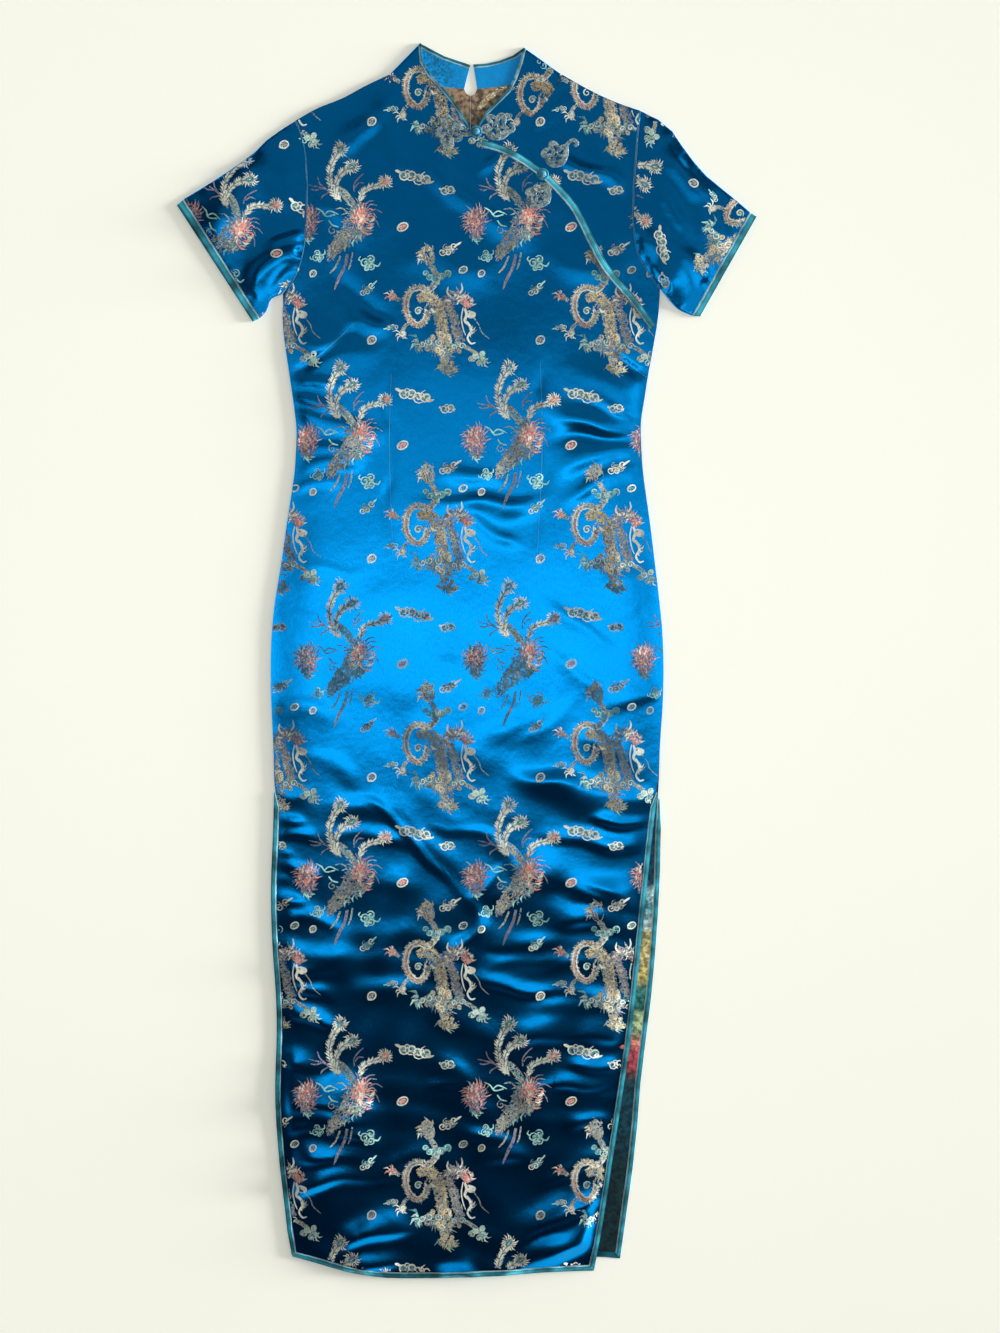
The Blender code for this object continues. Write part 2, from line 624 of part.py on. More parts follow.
def coil_path(coil: Coil, knot: Vector, low: float, high: float) -> list[Vector]:
    """Return a flower's cord: a petalled spiral round its middle, then a stem to the loop.

    The spiral ends where its own direction points at the knot, so the stem leaves it smoothly.
    """
    centre = Vector((coil.x, coil.y, 0.0)) * MM
    toward = (knot - centre).normalized()
    heading = math.atan2(toward.y, toward.x)
    outer = coil.radius * MM - CORD_RADIUS
    pitch = 2 * CORD_RADIUS + COIL_GAP
    turns = (outer - COIL_START) / pitch
    steps = round(turns * COIL_STEPS)
    path = []
    for i in range(steps + 1):
        back = (steps - i) / steps * turns
        radius = outer - back * pitch
        petal = PETAL_DEPTH * (radius * math.cos(PETALS * math.tau * back) - outer)
        angle = heading - math.tau * back - math.tau / 4
        path.append(centre + Vector((math.cos(angle), math.sin(angle), 0.0)) * (radius + petal))
    stop = knot - toward * (KNOT_RADIUS + 2 * SEAM + 3 * CORD_RADIUS)
    shoulder = path[-1] + toward * (stop - path[-1]).dot(toward) * 0.4
    rest = evenly([path[-1], shoulder, stop], STEM_POINTS)[1:]
    path = [lifted(point, low) for point in path]
    for i, point in enumerate(rest):
        path.append(lifted(point, low + (high - low) * smooth(0.2, 0.9, (i + 1) / len(rest))))
    return path


def cord(name: str, path: list[Vector], ring: bool = False) -> None:
    """Make a length of frog cord along a path."""
    curve = bpy.data.curves.new(name, "CURVE")
    curve.dimensions = "3D"
    curve.bevel_depth = CORD_RADIUS
    curve.bevel_resolution = 1
    curve.use_fill_caps = not ring
    spline = curve.splines.new("POLY")
    spline.points.add(len(path) - 1)
    for point, place in zip(spline.points, path):
        point.co = (*place, 1.0)
    spline.use_cyclic_u = ring
    obj = bpy.data.objects.new(name, curve)
    DRESS.objects.link(obj)
    colour(obj, CORD)


def make_frog(frog: Frog) -> None:
    """Make a frog: two coiled flowers, a knot between them and the loop round the knot."""
    knot = mm(frog.knot)
    low = FRONT_TOP + SEAM + CORD_RADIUS
    high = frog.rests_at + SEAM + CORD_RADIUS
    for side, coil in zip(("a", "b"), frog.flowers):
        cord(f"frog_{frog.name}_flower_{side}", coil_path(coil, knot, low, high))
    reach = KNOT_RADIUS + SEAM + CORD_RADIUS
    loop = []
    for i in range(LOOP_POINTS):
        angle = math.tau * i / LOOP_POINTS
        loop.append(knot + Vector((reach * math.cos(angle), reach * math.sin(angle), high)))
    cord(f"frog_{frog.name}_loop", loop, ring=True)
    bm = bmesh.new()
    bmesh.ops.create_uvsphere(bm, u_segments=12, v_segments=8, radius=KNOT_RADIUS)
    bmesh.ops.scale(bm, vec=(1.0, 1.0, KNOT_SQUASH), verts=bm.verts)
    centre = lifted(knot, frog.rests_at + SEAM + KNOT_RADIUS * KNOT_SQUASH)
    bmesh.ops.translate(bm, vec=centre, verts=bm.verts)
    mesh = bpy.data.meshes.new(f"frog_{frog.name}_knot")
    bm.to_mesh(mesh)
    bm.free()
    mesh.shade_smooth()
    obj = bpy.data.objects.new(mesh.name, mesh)
    DRESS.objects.link(obj)
    colour(obj, CORD)


for old in list(bpy.context.scene.objects):
    bpy.data.objects.remove(old, do_unlink=True)
DRESS = bpy.data.collections.new("cheongsam_dress")
bpy.context.scene.collection.children.link(DRESS)

make_back()
make_front()
for end in ("left", "right"):
    make_sleeve(end)
    make_collar(end)
for panel in ("front", "back"):
    make_bindings(panel)
make_piping()
for fastening in FROGS:
    make_frog(fastening)
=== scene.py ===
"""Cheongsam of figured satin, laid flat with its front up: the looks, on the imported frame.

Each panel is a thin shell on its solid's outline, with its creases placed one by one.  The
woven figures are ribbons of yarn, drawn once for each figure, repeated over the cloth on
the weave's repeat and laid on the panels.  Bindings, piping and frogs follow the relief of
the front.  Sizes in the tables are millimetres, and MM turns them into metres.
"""

import logging
import math
import random
from dataclasses import dataclass, field
from enum import Enum

import bmesh
import bpy
import numpy as np
from mathutils import Matrix, Vector
from mathutils.bvhtree import BVHTree
from mathutils.kdtree import KDTree


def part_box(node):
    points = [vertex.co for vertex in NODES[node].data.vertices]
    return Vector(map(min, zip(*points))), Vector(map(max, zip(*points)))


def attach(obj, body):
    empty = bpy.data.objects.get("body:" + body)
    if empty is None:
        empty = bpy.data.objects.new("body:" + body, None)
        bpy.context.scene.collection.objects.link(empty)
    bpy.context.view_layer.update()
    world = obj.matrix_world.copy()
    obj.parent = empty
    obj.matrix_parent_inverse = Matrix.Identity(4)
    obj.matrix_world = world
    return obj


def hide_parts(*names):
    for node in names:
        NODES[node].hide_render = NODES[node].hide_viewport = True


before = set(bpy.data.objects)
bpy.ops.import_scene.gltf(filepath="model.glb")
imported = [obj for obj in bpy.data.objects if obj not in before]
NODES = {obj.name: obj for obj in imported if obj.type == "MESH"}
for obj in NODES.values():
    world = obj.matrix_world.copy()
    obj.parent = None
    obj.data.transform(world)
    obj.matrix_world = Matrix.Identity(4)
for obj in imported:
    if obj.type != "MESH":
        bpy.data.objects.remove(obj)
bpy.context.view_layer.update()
LOG = logging.getLogger("cheongsam")

MM = 0.001
CLOTH = 1.2 * MM  # wall of a panel, with its backing
SEAM = 0.3 * MM  # between layers
UPPER = CLOTH + SEAM  # underside of the front where it lies flat
FRONT_TOP = UPPER + CLOTH
MERGE = 0.02 * MM  # a CAD node's loose triangles are joined within this
YARN_LIFT = 0.16 * MM  # lowest layer of a woven figure over the cloth
YARN_STEP = 0.05 * MM  # between the layers of a figure
UNDER_SHARE = 0.6  # how much of that the figures stand out on the side that rests on the floor
SHARP = 0.75  # edges that turn by more than this many radians are left sharp
PROBE = 50 * MM  # height from which a point is dropped on a panel
GOLDEN_ANGLE = 2.39996  # radians between places that fill an oval evenly

Colour = tuple[float, float, float]
Point = tuple[float, float]
Node = bpy.types.Node
Socket = bpy.types.NodeSocket
Material = bpy.types.Material
Piece = bpy.types.Object
Mesh = bmesh.types.BMesh
Vert = bmesh.types.BMVert


# ---- finishes


class Yarn(Enum):
    """Colours of yarn in the woven figures, in the order of their material slots."""

    TAUPE = 0
    CREAM = 1
    CORAL = 2
    PLUM = 3
    TEAL = 4
    MINT = 5
    GOLD = 6
    LINE = 7


TAUPE, CREAM, CORAL, PLUM, TEAL, MINT, GOLD, LINE = Yarn


class Tree:
    """A small helper that adds nodes to a node tree and links them."""

    def __init__(self, nodes: bpy.types.NodeTree) -> None:
        """Take over a node tree."""
        self.tree = nodes

    def add(self, kind: str, **settings: object) -> Node:
        """Add a node.

        Args:
            kind: The node's class name, without its "ShaderNode" prefix.
            settings: Attributes of the node.

        Returns:
            The new node.
        """
        node = self.tree.nodes.new(f"ShaderNode{kind}")
        for name, value in settings.items():
            setattr(node, name, value)
        return node

    def feed(self, node: Node, **sources: object) -> Node:
        """Fill a node's inputs from sockets or with values.

        Args:
            node: The node whose inputs are filled.
            sources: Input names, with "_" for a space, or "i" and a number, and what feeds each.

        Returns:
            The same node.
        """
        for name, source in sources.items():
            key = int(name[1:]) if name[0] == "i" and name[1:].isdigit() else name.replace("_", " ")
            if isinstance(source, Socket):
                self.tree.links.new(source, node.inputs[key])
            else:
                node.inputs[key].default_value = source
        return node

    def math(self, operation: str, *terms: object) -> Socket:
        """Return the result of a Math node on one to three terms."""
        node = self.add("Math", operation=operation)
        return self.feed(node, **{f"i{i}": term for i, term in enumerate(terms)}).outputs[0]

    def mix(self, share: object, first: Socket | Colour, second: Socket | Colour) -> Socket:
        """Return the mix of two colours."""
        first, second = ((*colour, 1.0) if isinstance(colour, tuple) else colour for colour in (first, second))
        return self.feed(self.add("Mix", data_type="RGBA"), i0=share, i6=first, i7=second).outputs[2]

    def noise(self, where: Socket, scale: float, detail: float = 2.0) -> Socket:
        """Return a noise value from 0 to 1."""
        return self.feed(self.add("TexNoise"), Vector=where, Scale=scale, Detail=detail).outputs["Fac"]

    def sway(self, where: Socket, scale: float, size: object) -> Socket:
        """Return a noise value round 0, whose two ends are a size apart."""
        return self.math("MULTIPLY", self.math("SUBTRACT", self.noise(where, scale), 0.5), size)

    def axis(self, where: Socket, number: int) -> Socket:
        """Return one coordinate of a place."""
        return self.feed(self.add("SeparateXYZ"), Vector=where).outputs[number]

    def remap(self, value: Socket, low: object, high: object, to: Point = (0.0, 1.0)) -> Socket:
        """Return a value moved from one range to another, and kept within it."""
        node = self.add("MapRange")
        return self.feed(node, Value=value, From_Min=low, From_Max=high, To_Min=to[0], To_Max=to[1]).outputs[0]

    def shade(self, colour: Socket, share: Socket) -> Socket:
        """Return a colour made darker or brighter."""
        return self.feed(self.add("VectorMath", operation="SCALE"), i0=colour, Scale=share).outputs[0]

    def bump(self, height: Socket) -> Socket:
        """Return the normal that a height in metres gives."""
        return self.feed(self.add("Bump"), Height=height, Distance=1.0, Strength=1.0).outputs[0]

    def ramp(self, share: Socket, stops: tuple[tuple[float, Colour], ...]) -> Socket:
        """Return a colour ramp's colour.

        Args:
            share: What reads the ramp.
            stops: Places from 0 to 1 and their colours.

        Returns:
            The colour output.
        """
        node = self.add("ValToRGB")
        elements = node.color_ramp.elements
        while len(elements) < len(stops):
            elements.new(0.5)
        for element, (place, colour) in zip(elements, stops):
            element.position = place
            element.color = (*colour, 1.0)
        return self.feed(node, Fac=share).outputs["Color"]


def new_group(name: str, inputs: dict[str, str], outputs: tuple[str, ...]) -> tuple[Tree, object, Node]:
    """Start a shader node group.

    Args:
        name: The group's name.
        inputs: Input names with their kinds, "Float" or "Vector".
        outputs: Names of its outputs, which are all values.

    Returns:
        The group's helper, its inputs by name and its output node.
    """
    group = bpy.data.node_groups.new(name, "ShaderNodeTree")
    for label, kind in inputs.items():
        group.interface.new_socket(name=label, in_out="INPUT", socket_type=f"NodeSocket{kind}")
    for label in outputs:
        group.interface.new_socket(name=label, in_out="OUTPUT", socket_type="NodeSocketFloat")
    source = group.nodes.new("NodeGroupInput")
    return Tree(group), source.outputs, group.nodes.new("NodeGroupOutput")


@dataclass(frozen=True)
class WeaveGroup:
    """A fine weave: crossing threads with slubs and soft crumples. Scales are per metre."""

    lean: float = 0.35  # how far the weft leans
    weft: float = 0.6  # the weft's rate and height beside the warp's
    slub_scale: float = 900.0
    slub_stretch: float = 0.28
    slub_share: float = 0.55
    cloud_scale: float = 14.0
    crumple_scale: float = 75.0

    def build(self, name: str) -> bpy.types.NodeTree:
        """Make the group.

        Args:
            name: The group's name.

        Returns:
            A group that turns a place, a thread pitch, a depth and a crumple depth into a height
            in metres and an uneven tone from 0 to 1.
        """
        inputs = {"Place": "Vector", "Pitch": "Float", "Depth": "Float", "Crumple": "Float"}
        tree, source, target = new_group(name, inputs, ("Height", "Tone"))
        place = source["Place"]
        x, y = tree.axis(place, 0), tree.axis(place, 1)
        rate = tree.math("DIVIDE", math.tau, source["Pitch"])
        warp = tree.math("SINE", tree.math("MULTIPLY", x, rate))
        slant = tree.math("ADD", y, tree.math("MULTIPLY", x, self.lean))
        weft = tree.math("SINE", tree.math("MULTIPLY", slant, tree.math("MULTIPLY", rate, self.weft)))
        threads = tree.math("MULTIPLY", tree.math("ADD", warp, tree.math("MULTIPLY", weft, self.weft)), 0.5)
        stretched = tree.feed(tree.add("Mapping"), Vector=place, Scale=(1.0, self.slub_stretch, 1.0)).outputs[0]
        slub = tree.noise(stretched, self.slub_scale, 1.0)
        cloud = tree.noise(place, self.cloud_scale, 3.0)
        tone = tree.math("ADD", tree.math("MULTIPLY", slub, self.slub_share),
                         tree.math("MULTIPLY", cloud, 1.0 - self.slub_share))
        height = tree.math("ADD", tree.math("MULTIPLY", threads, source["Depth"]),
                           tree.sway(place, self.crumple_scale, source["Crumple"]))
        tree.feed(target, Height=height, Tone=tone)
        return tree.tree


@dataclass(frozen=True)
class FloatsGroup:
    """Floats of yarn: parallel threads, a scribble of pale yarn, and gaps."""

    lean: float = 0.5
    depth: float = 0.04 * MM
    scribble: Point = (0.09, 0.03)  # how far the noise is from its middle where the pale yarn ends and is whole
    gap_edge: float = 0.05

    def build(self, name: str) -> bpy.types.NodeTree:
        """Make the group.

        Args:
            name: The group's name.

        Returns:
            A group that turns a place, a thread pitch, a scribble size and an openness into a
            height in metres, a mask of pale yarn and a mask of the ground that shows through.
        """
        inputs = {"Place": "Vector", "Pitch": "Float", "Speckle": "Float", "Open": "Float"}
        tree, source, target = new_group(name, inputs, ("Height", "Mask", "Gap"))
        place = source["Place"]
        rate = tree.math("DIVIDE", math.tau, source["Pitch"])
        slant = tree.math("ADD", tree.axis(place, 1), tree.math("MULTIPLY", tree.axis(place, 0), self.lean))
        rows = tree.math("SINE", tree.math("MULTIPLY", slant, rate))
        scale = tree.math("DIVIDE", 1.0, source["Speckle"])
        noise = tree.feed(tree.add("TexNoise"), Vector=place, Scale=scale, Detail=1.5, Distortion=0.8).outputs["Fac"]
        away = tree.math("ABSOLUTE", tree.math("SUBTRACT", noise, 0.5))
        gap = tree.remap(noise, source["Open"], tree.math("ADD", source["Open"], self.gap_edge))
        thread = tree.math("MULTIPLY", rows, tree.math("SUBTRACT", 1.0, gap))
        height = tree.math("MULTIPLY", thread, self.depth)
        tree.feed(target, Height=height, Mask=tree.remap(away, *self.scribble), Gap=gap)
        return tree.tree


class Effect(Enum):
    """The effects that materials share, each a node group that is built once."""

    WEAVE = WeaveGroup()
    FLOATS = FloatsGroup()

    def place(self, tree: Tree, **sources: object) -> bpy.types.bpy_prop_collection:
        """Place the effect's group in a material.

        Args:
            tree: The material's node helper.
            sources: What feeds the group's inputs.

        Returns:
            The group's outputs.
        """
        name = self.name.title()
        node = tree.add("Group")
        node.node_tree = bpy.data.node_groups.get(name) or self.value.build(name)
        return tree.feed(node, **sources).outputs


def start_material(name: str) -> tuple[Material, Tree, Node, Socket]:
    """Start a node material.

    Args:
        name: The material's name.

    Returns:
        The material, its node helper, its Principled shader and its Object coordinates.
    """
    material = bpy.data.materials.new(name)
    material.use_nodes = True
    tree = Tree(material.node_tree)
    return material, tree, material.node_tree.nodes["Principled BSDF"], tree.add("TexCoord").outputs["Object"]


@dataclass(frozen=True)
class Satin:
    """A woven satin: two tones of one colour, its gloss and its weave."""

    name: str
    light: Colour
    dark: Colour
    metallic: float = 1.0
    roughness: float = 0.238
    unevenness: float = 0.03
    pitch: float = 0.5 * MM
    depth: float = 0.003 * MM
    crumple: float = 0.20 * MM

    def build(self) -> Material:
        """Return the satin's material."""
        material, tree, shader, place = start_material(self.name)
        weave = Effect.WEAVE.place(tree, Place=place, Pitch=self.pitch, Depth=self.depth, Crumple=self.crumple)
        tone = weave["Tone"]
        rough = tree.remap(tone, 0.0, 1.0, (self.roughness + self.unevenness, self.roughness - self.unevenness))
        tree.feed(shader, Base_Color=tree.mix(tone, self.dark, self.light), Roughness=rough, Metallic=self.metallic,
                  Normal=tree.bump(weave["Height"]))
        return material


@dataclass(frozen=True)
class Reverse:
    """The wrong side of the cloth: floats of yarn in bands of colour, from the hem to the neck."""

    name: str = "figured_satin_reverse"
    length: float = 1410 * MM
    wander: float = 22 * MM  # how far a band's edge strays
    wander_scale: float = 110.0
    patch_scale: float = 170.0
    patches: Point = (0.38, 1.40)
    ground: Colour = (0.002, 0.045, 0.10)
    ground_share: float = 0.32
    roughness: float = 0.75
    specular: float = 0.2
    bands: tuple[tuple[float, Colour], ...] = (
        (0.00, (0.001, 0.020, 0.018)), (0.090, (0.002, 0.024, 0.022)), (0.120, (0.002, 0.050, 0.070)),
        (0.158, (0.003, 0.060, 0.080)), (0.164, (0.16, 0.07, 0.06)), (0.171, (0.50, 0.07, 0.09)),
        (0.184, (0.62, 0.10, 0.11)), (0.193, (0.95, 0.42, 0.28)), (0.198, (0.22, 0.28, 0.14)),
        (0.204, (0.62, 0.78, 0.42)), (0.213, (0.36, 0.52, 0.26)), (0.219, (0.03, 0.20, 0.15)),
        (0.234, (0.05, 0.26, 0.22)), (0.240, (0.62, 0.50, 0.12)), (0.262, (0.85, 0.70, 0.28)),
        (0.280, (0.52, 0.44, 0.14)), (0.286, (0.72, 0.95, 0.92)), (0.300, (0.08, 0.40, 0.46)),
        (0.312, (0.55, 0.82, 0.82)), (0.318, (0.005, 0.06, 0.10)), (0.380, (0.003, 0.05, 0.09)),
        (0.60, (0.006, 0.070, 0.110)), (0.88, (0.02, 0.12, 0.16)), (0.930, (0.05, 0.12, 0.11)),
        (0.942, (0.30, 0.20, 0.12)), (0.962, (0.40, 0.27, 0.16)))

    def build(self) -> Material:
        """Return the material, banded along the dress by its Object coordinates."""
        material, tree, shader, place = start_material(self.name)
        weave = Effect.WEAVE.place(tree, Place=place, Pitch=0.5 * MM, Depth=0.02 * MM, Crumple=0.2 * MM)
        yarn = Effect.FLOATS.place(tree, Place=place, Pitch=0.8 * MM, Speckle=4.0 * MM, Open=1.0)
        along = tree.math("ADD", tree.axis(place, 1), tree.sway(place, self.wander_scale, self.wander))
        banded = tree.ramp(tree.math("ADD", tree.math("DIVIDE", along, self.length), 0.5), self.bands)
        colour = tree.shade(banded, tree.remap(tree.noise(place, self.patch_scale), 0.40, 0.60, self.patches))
        colour = tree.mix(tree.math("MULTIPLY", yarn["Mask"], self.ground_share), colour, self.ground)
        height = tree.math("ADD", weave["Height"], yarn["Height"])
        tree.feed(shader, Base_Color=colour, Roughness=self.roughness, Specular_IOR_Level=self.specular,
                  Normal=tree.bump(height))
        return material


@dataclass(frozen=True)
class Floats:
    """A colour of yarn in the figures: pale and dark threads with the ground between them."""

    name: str
    light: Colour
    dark: Colour
    roughness: float = 0.5
    speckle: float = 2.4 * MM
    gap: float = 0.56  # the ground shows past this much noise, and never at 1
    # how much of the painted hip shade a yarn takes
    hip_shade_share: float = 0.85
    pitch: float = 0.7 * MM
    ground: Colour = (0.001, 0.33, 0.86)
    ground_finish: Point = (0.97, 0.235)  # metallic and roughness
    hip_shade: Colour = (0.012, 0.13, 0.22)  # painted shade: what the yarns turn to round the hips, where they look dark beside the bright sheen of the satin
    hip_shade_ends: Point = (0.17, 0.08)  # metres from the dress's middle where it starts and is whole
    cloud_scale: float = 32.0
    # brighter and darker in random patches, a painted sheen and shade of the floats
    patch_scale: float = 26.0
    patches: Point = (0.62, 1.12)

    def build(self) -> Material:
        """Return the yarn's material."""
        material, tree, shader, place = start_material(self.name)
        yarn = Effect.FLOATS.place(tree, Place=place, Pitch=self.pitch, Speckle=self.speckle, Open=self.gap)
        colour = tree.mix(yarn["Mask"], self.dark, self.light)
        rough = self.roughness
        if self.gap < 1.0:
            # painted shade: round the hips the yarns darken in clouds, as they look beside the satin's sheen there
            along = tree.axis(place, 1)
            start, whole = self.hip_shade_ends
            hip_shade = tree.math("MULTIPLY", tree.remap(along, -start, -whole), tree.remap(along, start, whole))
            cloudy = tree.remap(tree.noise(place, self.cloud_scale), 0.41, 0.50, (0.05, 1.0))
            share = tree.math("MULTIPLY", tree.math("MULTIPLY", hip_shade, cloudy), self.hip_shade_share)
            # painted sheen and shade: the yarn is made brighter and darker in random patches
            uneven = tree.remap(tree.noise(place, self.patch_scale, 3.0), 0.40, 0.60, self.patches)
            colour = tree.shade(tree.mix(share, colour, self.hip_shade), uneven)
            colour = tree.mix(yarn["Gap"], colour, self.ground)
            metallic, smooth = self.ground_finish
            rough = tree.remap(yarn["Gap"], 0.0, 1.0, (self.roughness, smooth))
            tree.feed(shader, Metallic=tree.remap(yarn["Gap"], 0.0, 1.0, (0.0, metallic)))
        tree.feed(shader, Base_Color=colour, Roughness=rough, Normal=tree.bump(yarn["Height"]))
        return material


YARNS = {
    TAUPE: Floats("yarn_taupe", (0.58, 0.58, 0.47), (0.12, 0.16, 0.14), gap=0.565),
    CREAM: Floats("yarn_cream", (1.00, 1.00, 0.90), (0.74, 0.77, 0.60), gap=0.70, hip_shade_share=0.5),
    CORAL: Floats("yarn_coral", (1.00, 0.58, 0.50), (0.74, 0.18, 0.13), gap=0.68, hip_shade_share=0.7),
    PLUM: Floats("yarn_plum", (0.36, 0.32, 0.38), (0.12, 0.11, 0.17), gap=0.59),
    TEAL: Floats("yarn_teal", (0.20, 0.46, 0.45), (0.04, 0.19, 0.21), gap=0.58),
    MINT: Floats("yarn_mint", (0.62, 0.95, 0.85), (0.26, 0.62, 0.57), gap=0.68),
    GOLD: Floats("yarn_gold", (0.95, 0.78, 0.40), (0.32, 0.26, 0.13), gap=0.62),
    LINE: Floats("yarn_line", (0.10, 0.30, 0.44), (0.05, 0.20, 0.33), gap=1.0),
}


@dataclass(frozen=True)
class BiasSatin:
    """Bias satin of an edge: stripes across its width, some of them painted highlight and shade, read from the
    strip's own attribute.
    """

    name: str
    stripes: tuple[tuple[float, Colour], ...]
    highlight_below: float = -9.0  # metres along the dress below which the painted highlight lies; the default is far past its hem
    # the colour of the painted highlight
    bright: Colour = (0.05, 0.46, 0.62)
    highlight_edge: float = 0.02
    metallic: float = 0.45
    roughness: float = 0.34
    wander_scale: float = 140.0
    wander: float = 0.2
    # random patches, up to about twice as bright: painted highlights and shade on the satin
    patch_scale: float = 48.0
    patches: Point = (0.60, 2.1)

    def build(self) -> Material:
        """Return the material; "across" runs from 0 at the inner edge to 1 at the outer."""
        material, tree, shader, place = start_material(self.name)
        across = tree.add("Attribute", attribute_name="across").outputs["Fac"]
        weave = Effect.WEAVE.place(tree, Place=place, Pitch=0.6 * MM, Depth=0.006 * MM, Crumple=0.5 * MM)
        striped = tree.ramp(tree.math("ADD", across, tree.sway(place, self.wander_scale, self.wander)), self.stripes)
        # painted highlight: below a height along the dress the stripes give way to a bright colour
        low = tree.remap(tree.axis(place, 1), self.highlight_below, self.highlight_below - self.highlight_edge)
        # painted highlights and shade in random patches
        patches = tree.remap(tree.noise(place, self.patch_scale, 3.0), 0.36, 0.66, self.patches)
        colour = tree.shade(tree.mix(low, striped, self.bright), patches)
        tree.feed(shader, Base_Color=colour, Roughness=self.roughness, Metallic=self.metallic,
                  Normal=tree.bump(weave["Height"]))
        return material


@dataclass(frozen=True)
class Lining:
    """The collar's inside: satin with a painted highlight in its bright colour, and a darker lace of floats towards
    the left.
    """

    name: str = "collar_inside"
    # painted highlight: the satin's gloss is laid into these bright blues, with little metal
    light: Colour = (0.0, 0.46, 1.0)
    dark: Colour = (0.0, 0.27, 0.80)
    lace: Colour = (0.0, 0.14, 0.26)
    lace_share: Point = (0.12, 0.85)  # of the lace, at the middle and at the left
    roughness: float = 0.36
    metallic: float = 0.1

    def build(self) -> Material:
        """Return the lining's material."""
        material, tree, shader, place = start_material(self.name)
        weave = Effect.WEAVE.place(tree, Place=place, Pitch=0.5 * MM, Depth=0.01 * MM, Crumple=0.5 * MM)
        lace = Effect.FLOATS.place(tree, Place=place, Pitch=0.7 * MM, Speckle=5.0 * MM, Open=1.0)
        left = tree.remap(tree.axis(place, 0), 0.0, -30 * MM, self.lace_share)
        plain = tree.mix(weave["Tone"], self.dark, self.light)
        colour = tree.mix(tree.math("MULTIPLY", lace["Mask"], left), plain, self.lace)
        tree.feed(shader, Base_Color=colour, Roughness=self.roughness, Metallic=self.metallic,
                  Normal=tree.bump(weave["Height"]))
        return material


# Across a binding: a pale line by the inner edge, the painted highlight of the stitched fold, with painted shade in
# the dark stripes at either side of it, then the teal band.
EDGE_STRIPES = ((0.0, (0.01, 0.10, 0.17)), (0.06, (0.34, 0.62, 0.70)), (0.17, (0.30, 0.58, 0.66)),
                (0.25, (0.01, 0.14, 0.20)), (0.40, (0.03, 0.30, 0.38)), (0.75, (0.04, 0.34, 0.44)),
                (0.95, (0.01, 0.12, 0.18)))
# Across the collar's binding: a pale line by its inner edge, the painted highlight of its fold, then painted shade in
# a dark stripe, then the teal band.
COLLAR_STRIPES = ((0.0, (0.30, 0.52, 0.60)), (0.22, (0.34, 0.56, 0.64)), (0.34, (0.01, 0.12, 0.18)),
                  (0.60, (0.02, 0.20, 0.27)), (0.95, (0.02, 0.22, 0.30)))
# Across the piping, from its lower edge: a thin dark edge, a pale line, then teal stripes whose bright ones are
# painted highlights and whose dark ones, between them and at the upper edge, are painted shade.
PIPING_STRIPES = ((0.0, (0.02, 0.14, 0.22)), (0.06, (0.40, 0.66, 0.74)), (0.20, (0.34, 0.62, 0.70)),
                  (0.30, (0.02, 0.22, 0.32)), (0.48, (0.04, 0.42, 0.54)), (0.66, (0.03, 0.34, 0.44)),
                  (0.76, (0.16, 0.48, 0.56)), (0.88, (0.01, 0.14, 0.20)))


class Finishes:
    """The materials of the dress, each built once."""

    def __init__(self) -> None:
        """Build every finish."""
        self.satin = Satin("figured_satin", (0.001, 0.36, 0.92), (0.001, 0.27, 0.74)).build()
        self.lining = Lining().build()
        self.reverse = Reverse().build()
        self.binding = BiasSatin("bias_satin", EDGE_STRIPES).build()
        # the collar's binding has a painted highlight on its lower part
        self.collar_binding = BiasSatin("collar_satin", COLLAR_STRIPES, highlight_below=0.630).build()
        self.piping = BiasSatin("piping_satin", PIPING_STRIPES).build()
        self.cord = Floats("frog_cord", (0.44, 0.52, 0.50), (0.10, 0.20, 0.24), 0.55, 3.4 * MM, 1.0).build()
        self.knot = Floats("knot_satin", (0.06, 0.30, 0.42), (0.015, 0.15, 0.24), 0.68, 2.4 * MM, 1.0).build()
        self.yarns = [YARNS[yarn].build() for yarn in Yarn]


# ---- curves


def plan(x: float, y: float) -> Vector:
    """Return a point in the plane."""
    return Vector((x, y, 0.0))


def bend(points: tuple[Point, ...], pieces: int = 6) -> list[Vector]:
    """Return a smooth curve through some points.

    Args:
        points: Places in the plane that the curve passes.
        pieces: How many pieces each stretch between two places gets.

    Returns:
        Points in order along the curve, at height 0.
    """
    knots = [plan(*point) for point in points]
    knots = [2 * knots[0] - knots[1]] + knots + [2 * knots[-1] - knots[-2]]
    path = []
    for i in range(1, len(knots) - 2):
        before, start, end, after = knots[i - 1:i + 3]
        for part in range(pieces):
            t = part / pieces
            path.append(0.5 * (2 * start + (end - before) * t + (2 * before - 5 * start + 4 * end - after) * t * t
                               + (3 * start - before - 3 * end + after) * t ** 3))
    path.append(knots[-2])
    return path


def headings(path: list[Vector]) -> list[Vector]:
    """Return the unit direction at each point of a path."""
    last = len(path) - 1
    return [(path[min(i + 1, last)] - path[max(i - 1, 0)]).normalized() for i in range(last + 1)]


def to_left(heading: Vector) -> Vector:
    """Return the direction a quarter turn to the left in the plane."""
    return plan(-heading.y, heading.x)


def polar(angle: float, reach: float) -> Vector:
    """Return a point at an angle and a distance from the origin, in the plane."""
    return plan(math.cos(angle), math.sin(angle)) * reach


def soft_step(low: float, high: float, at: np.ndarray) -> np.ndarray:
    """Return a soft step from 0 at low to 1 at high."""
    share = np.clip((at - low) / (high - low), 0.0, 1.0)
    return share * share * (3.0 - 2.0 * share)


# ---- figures


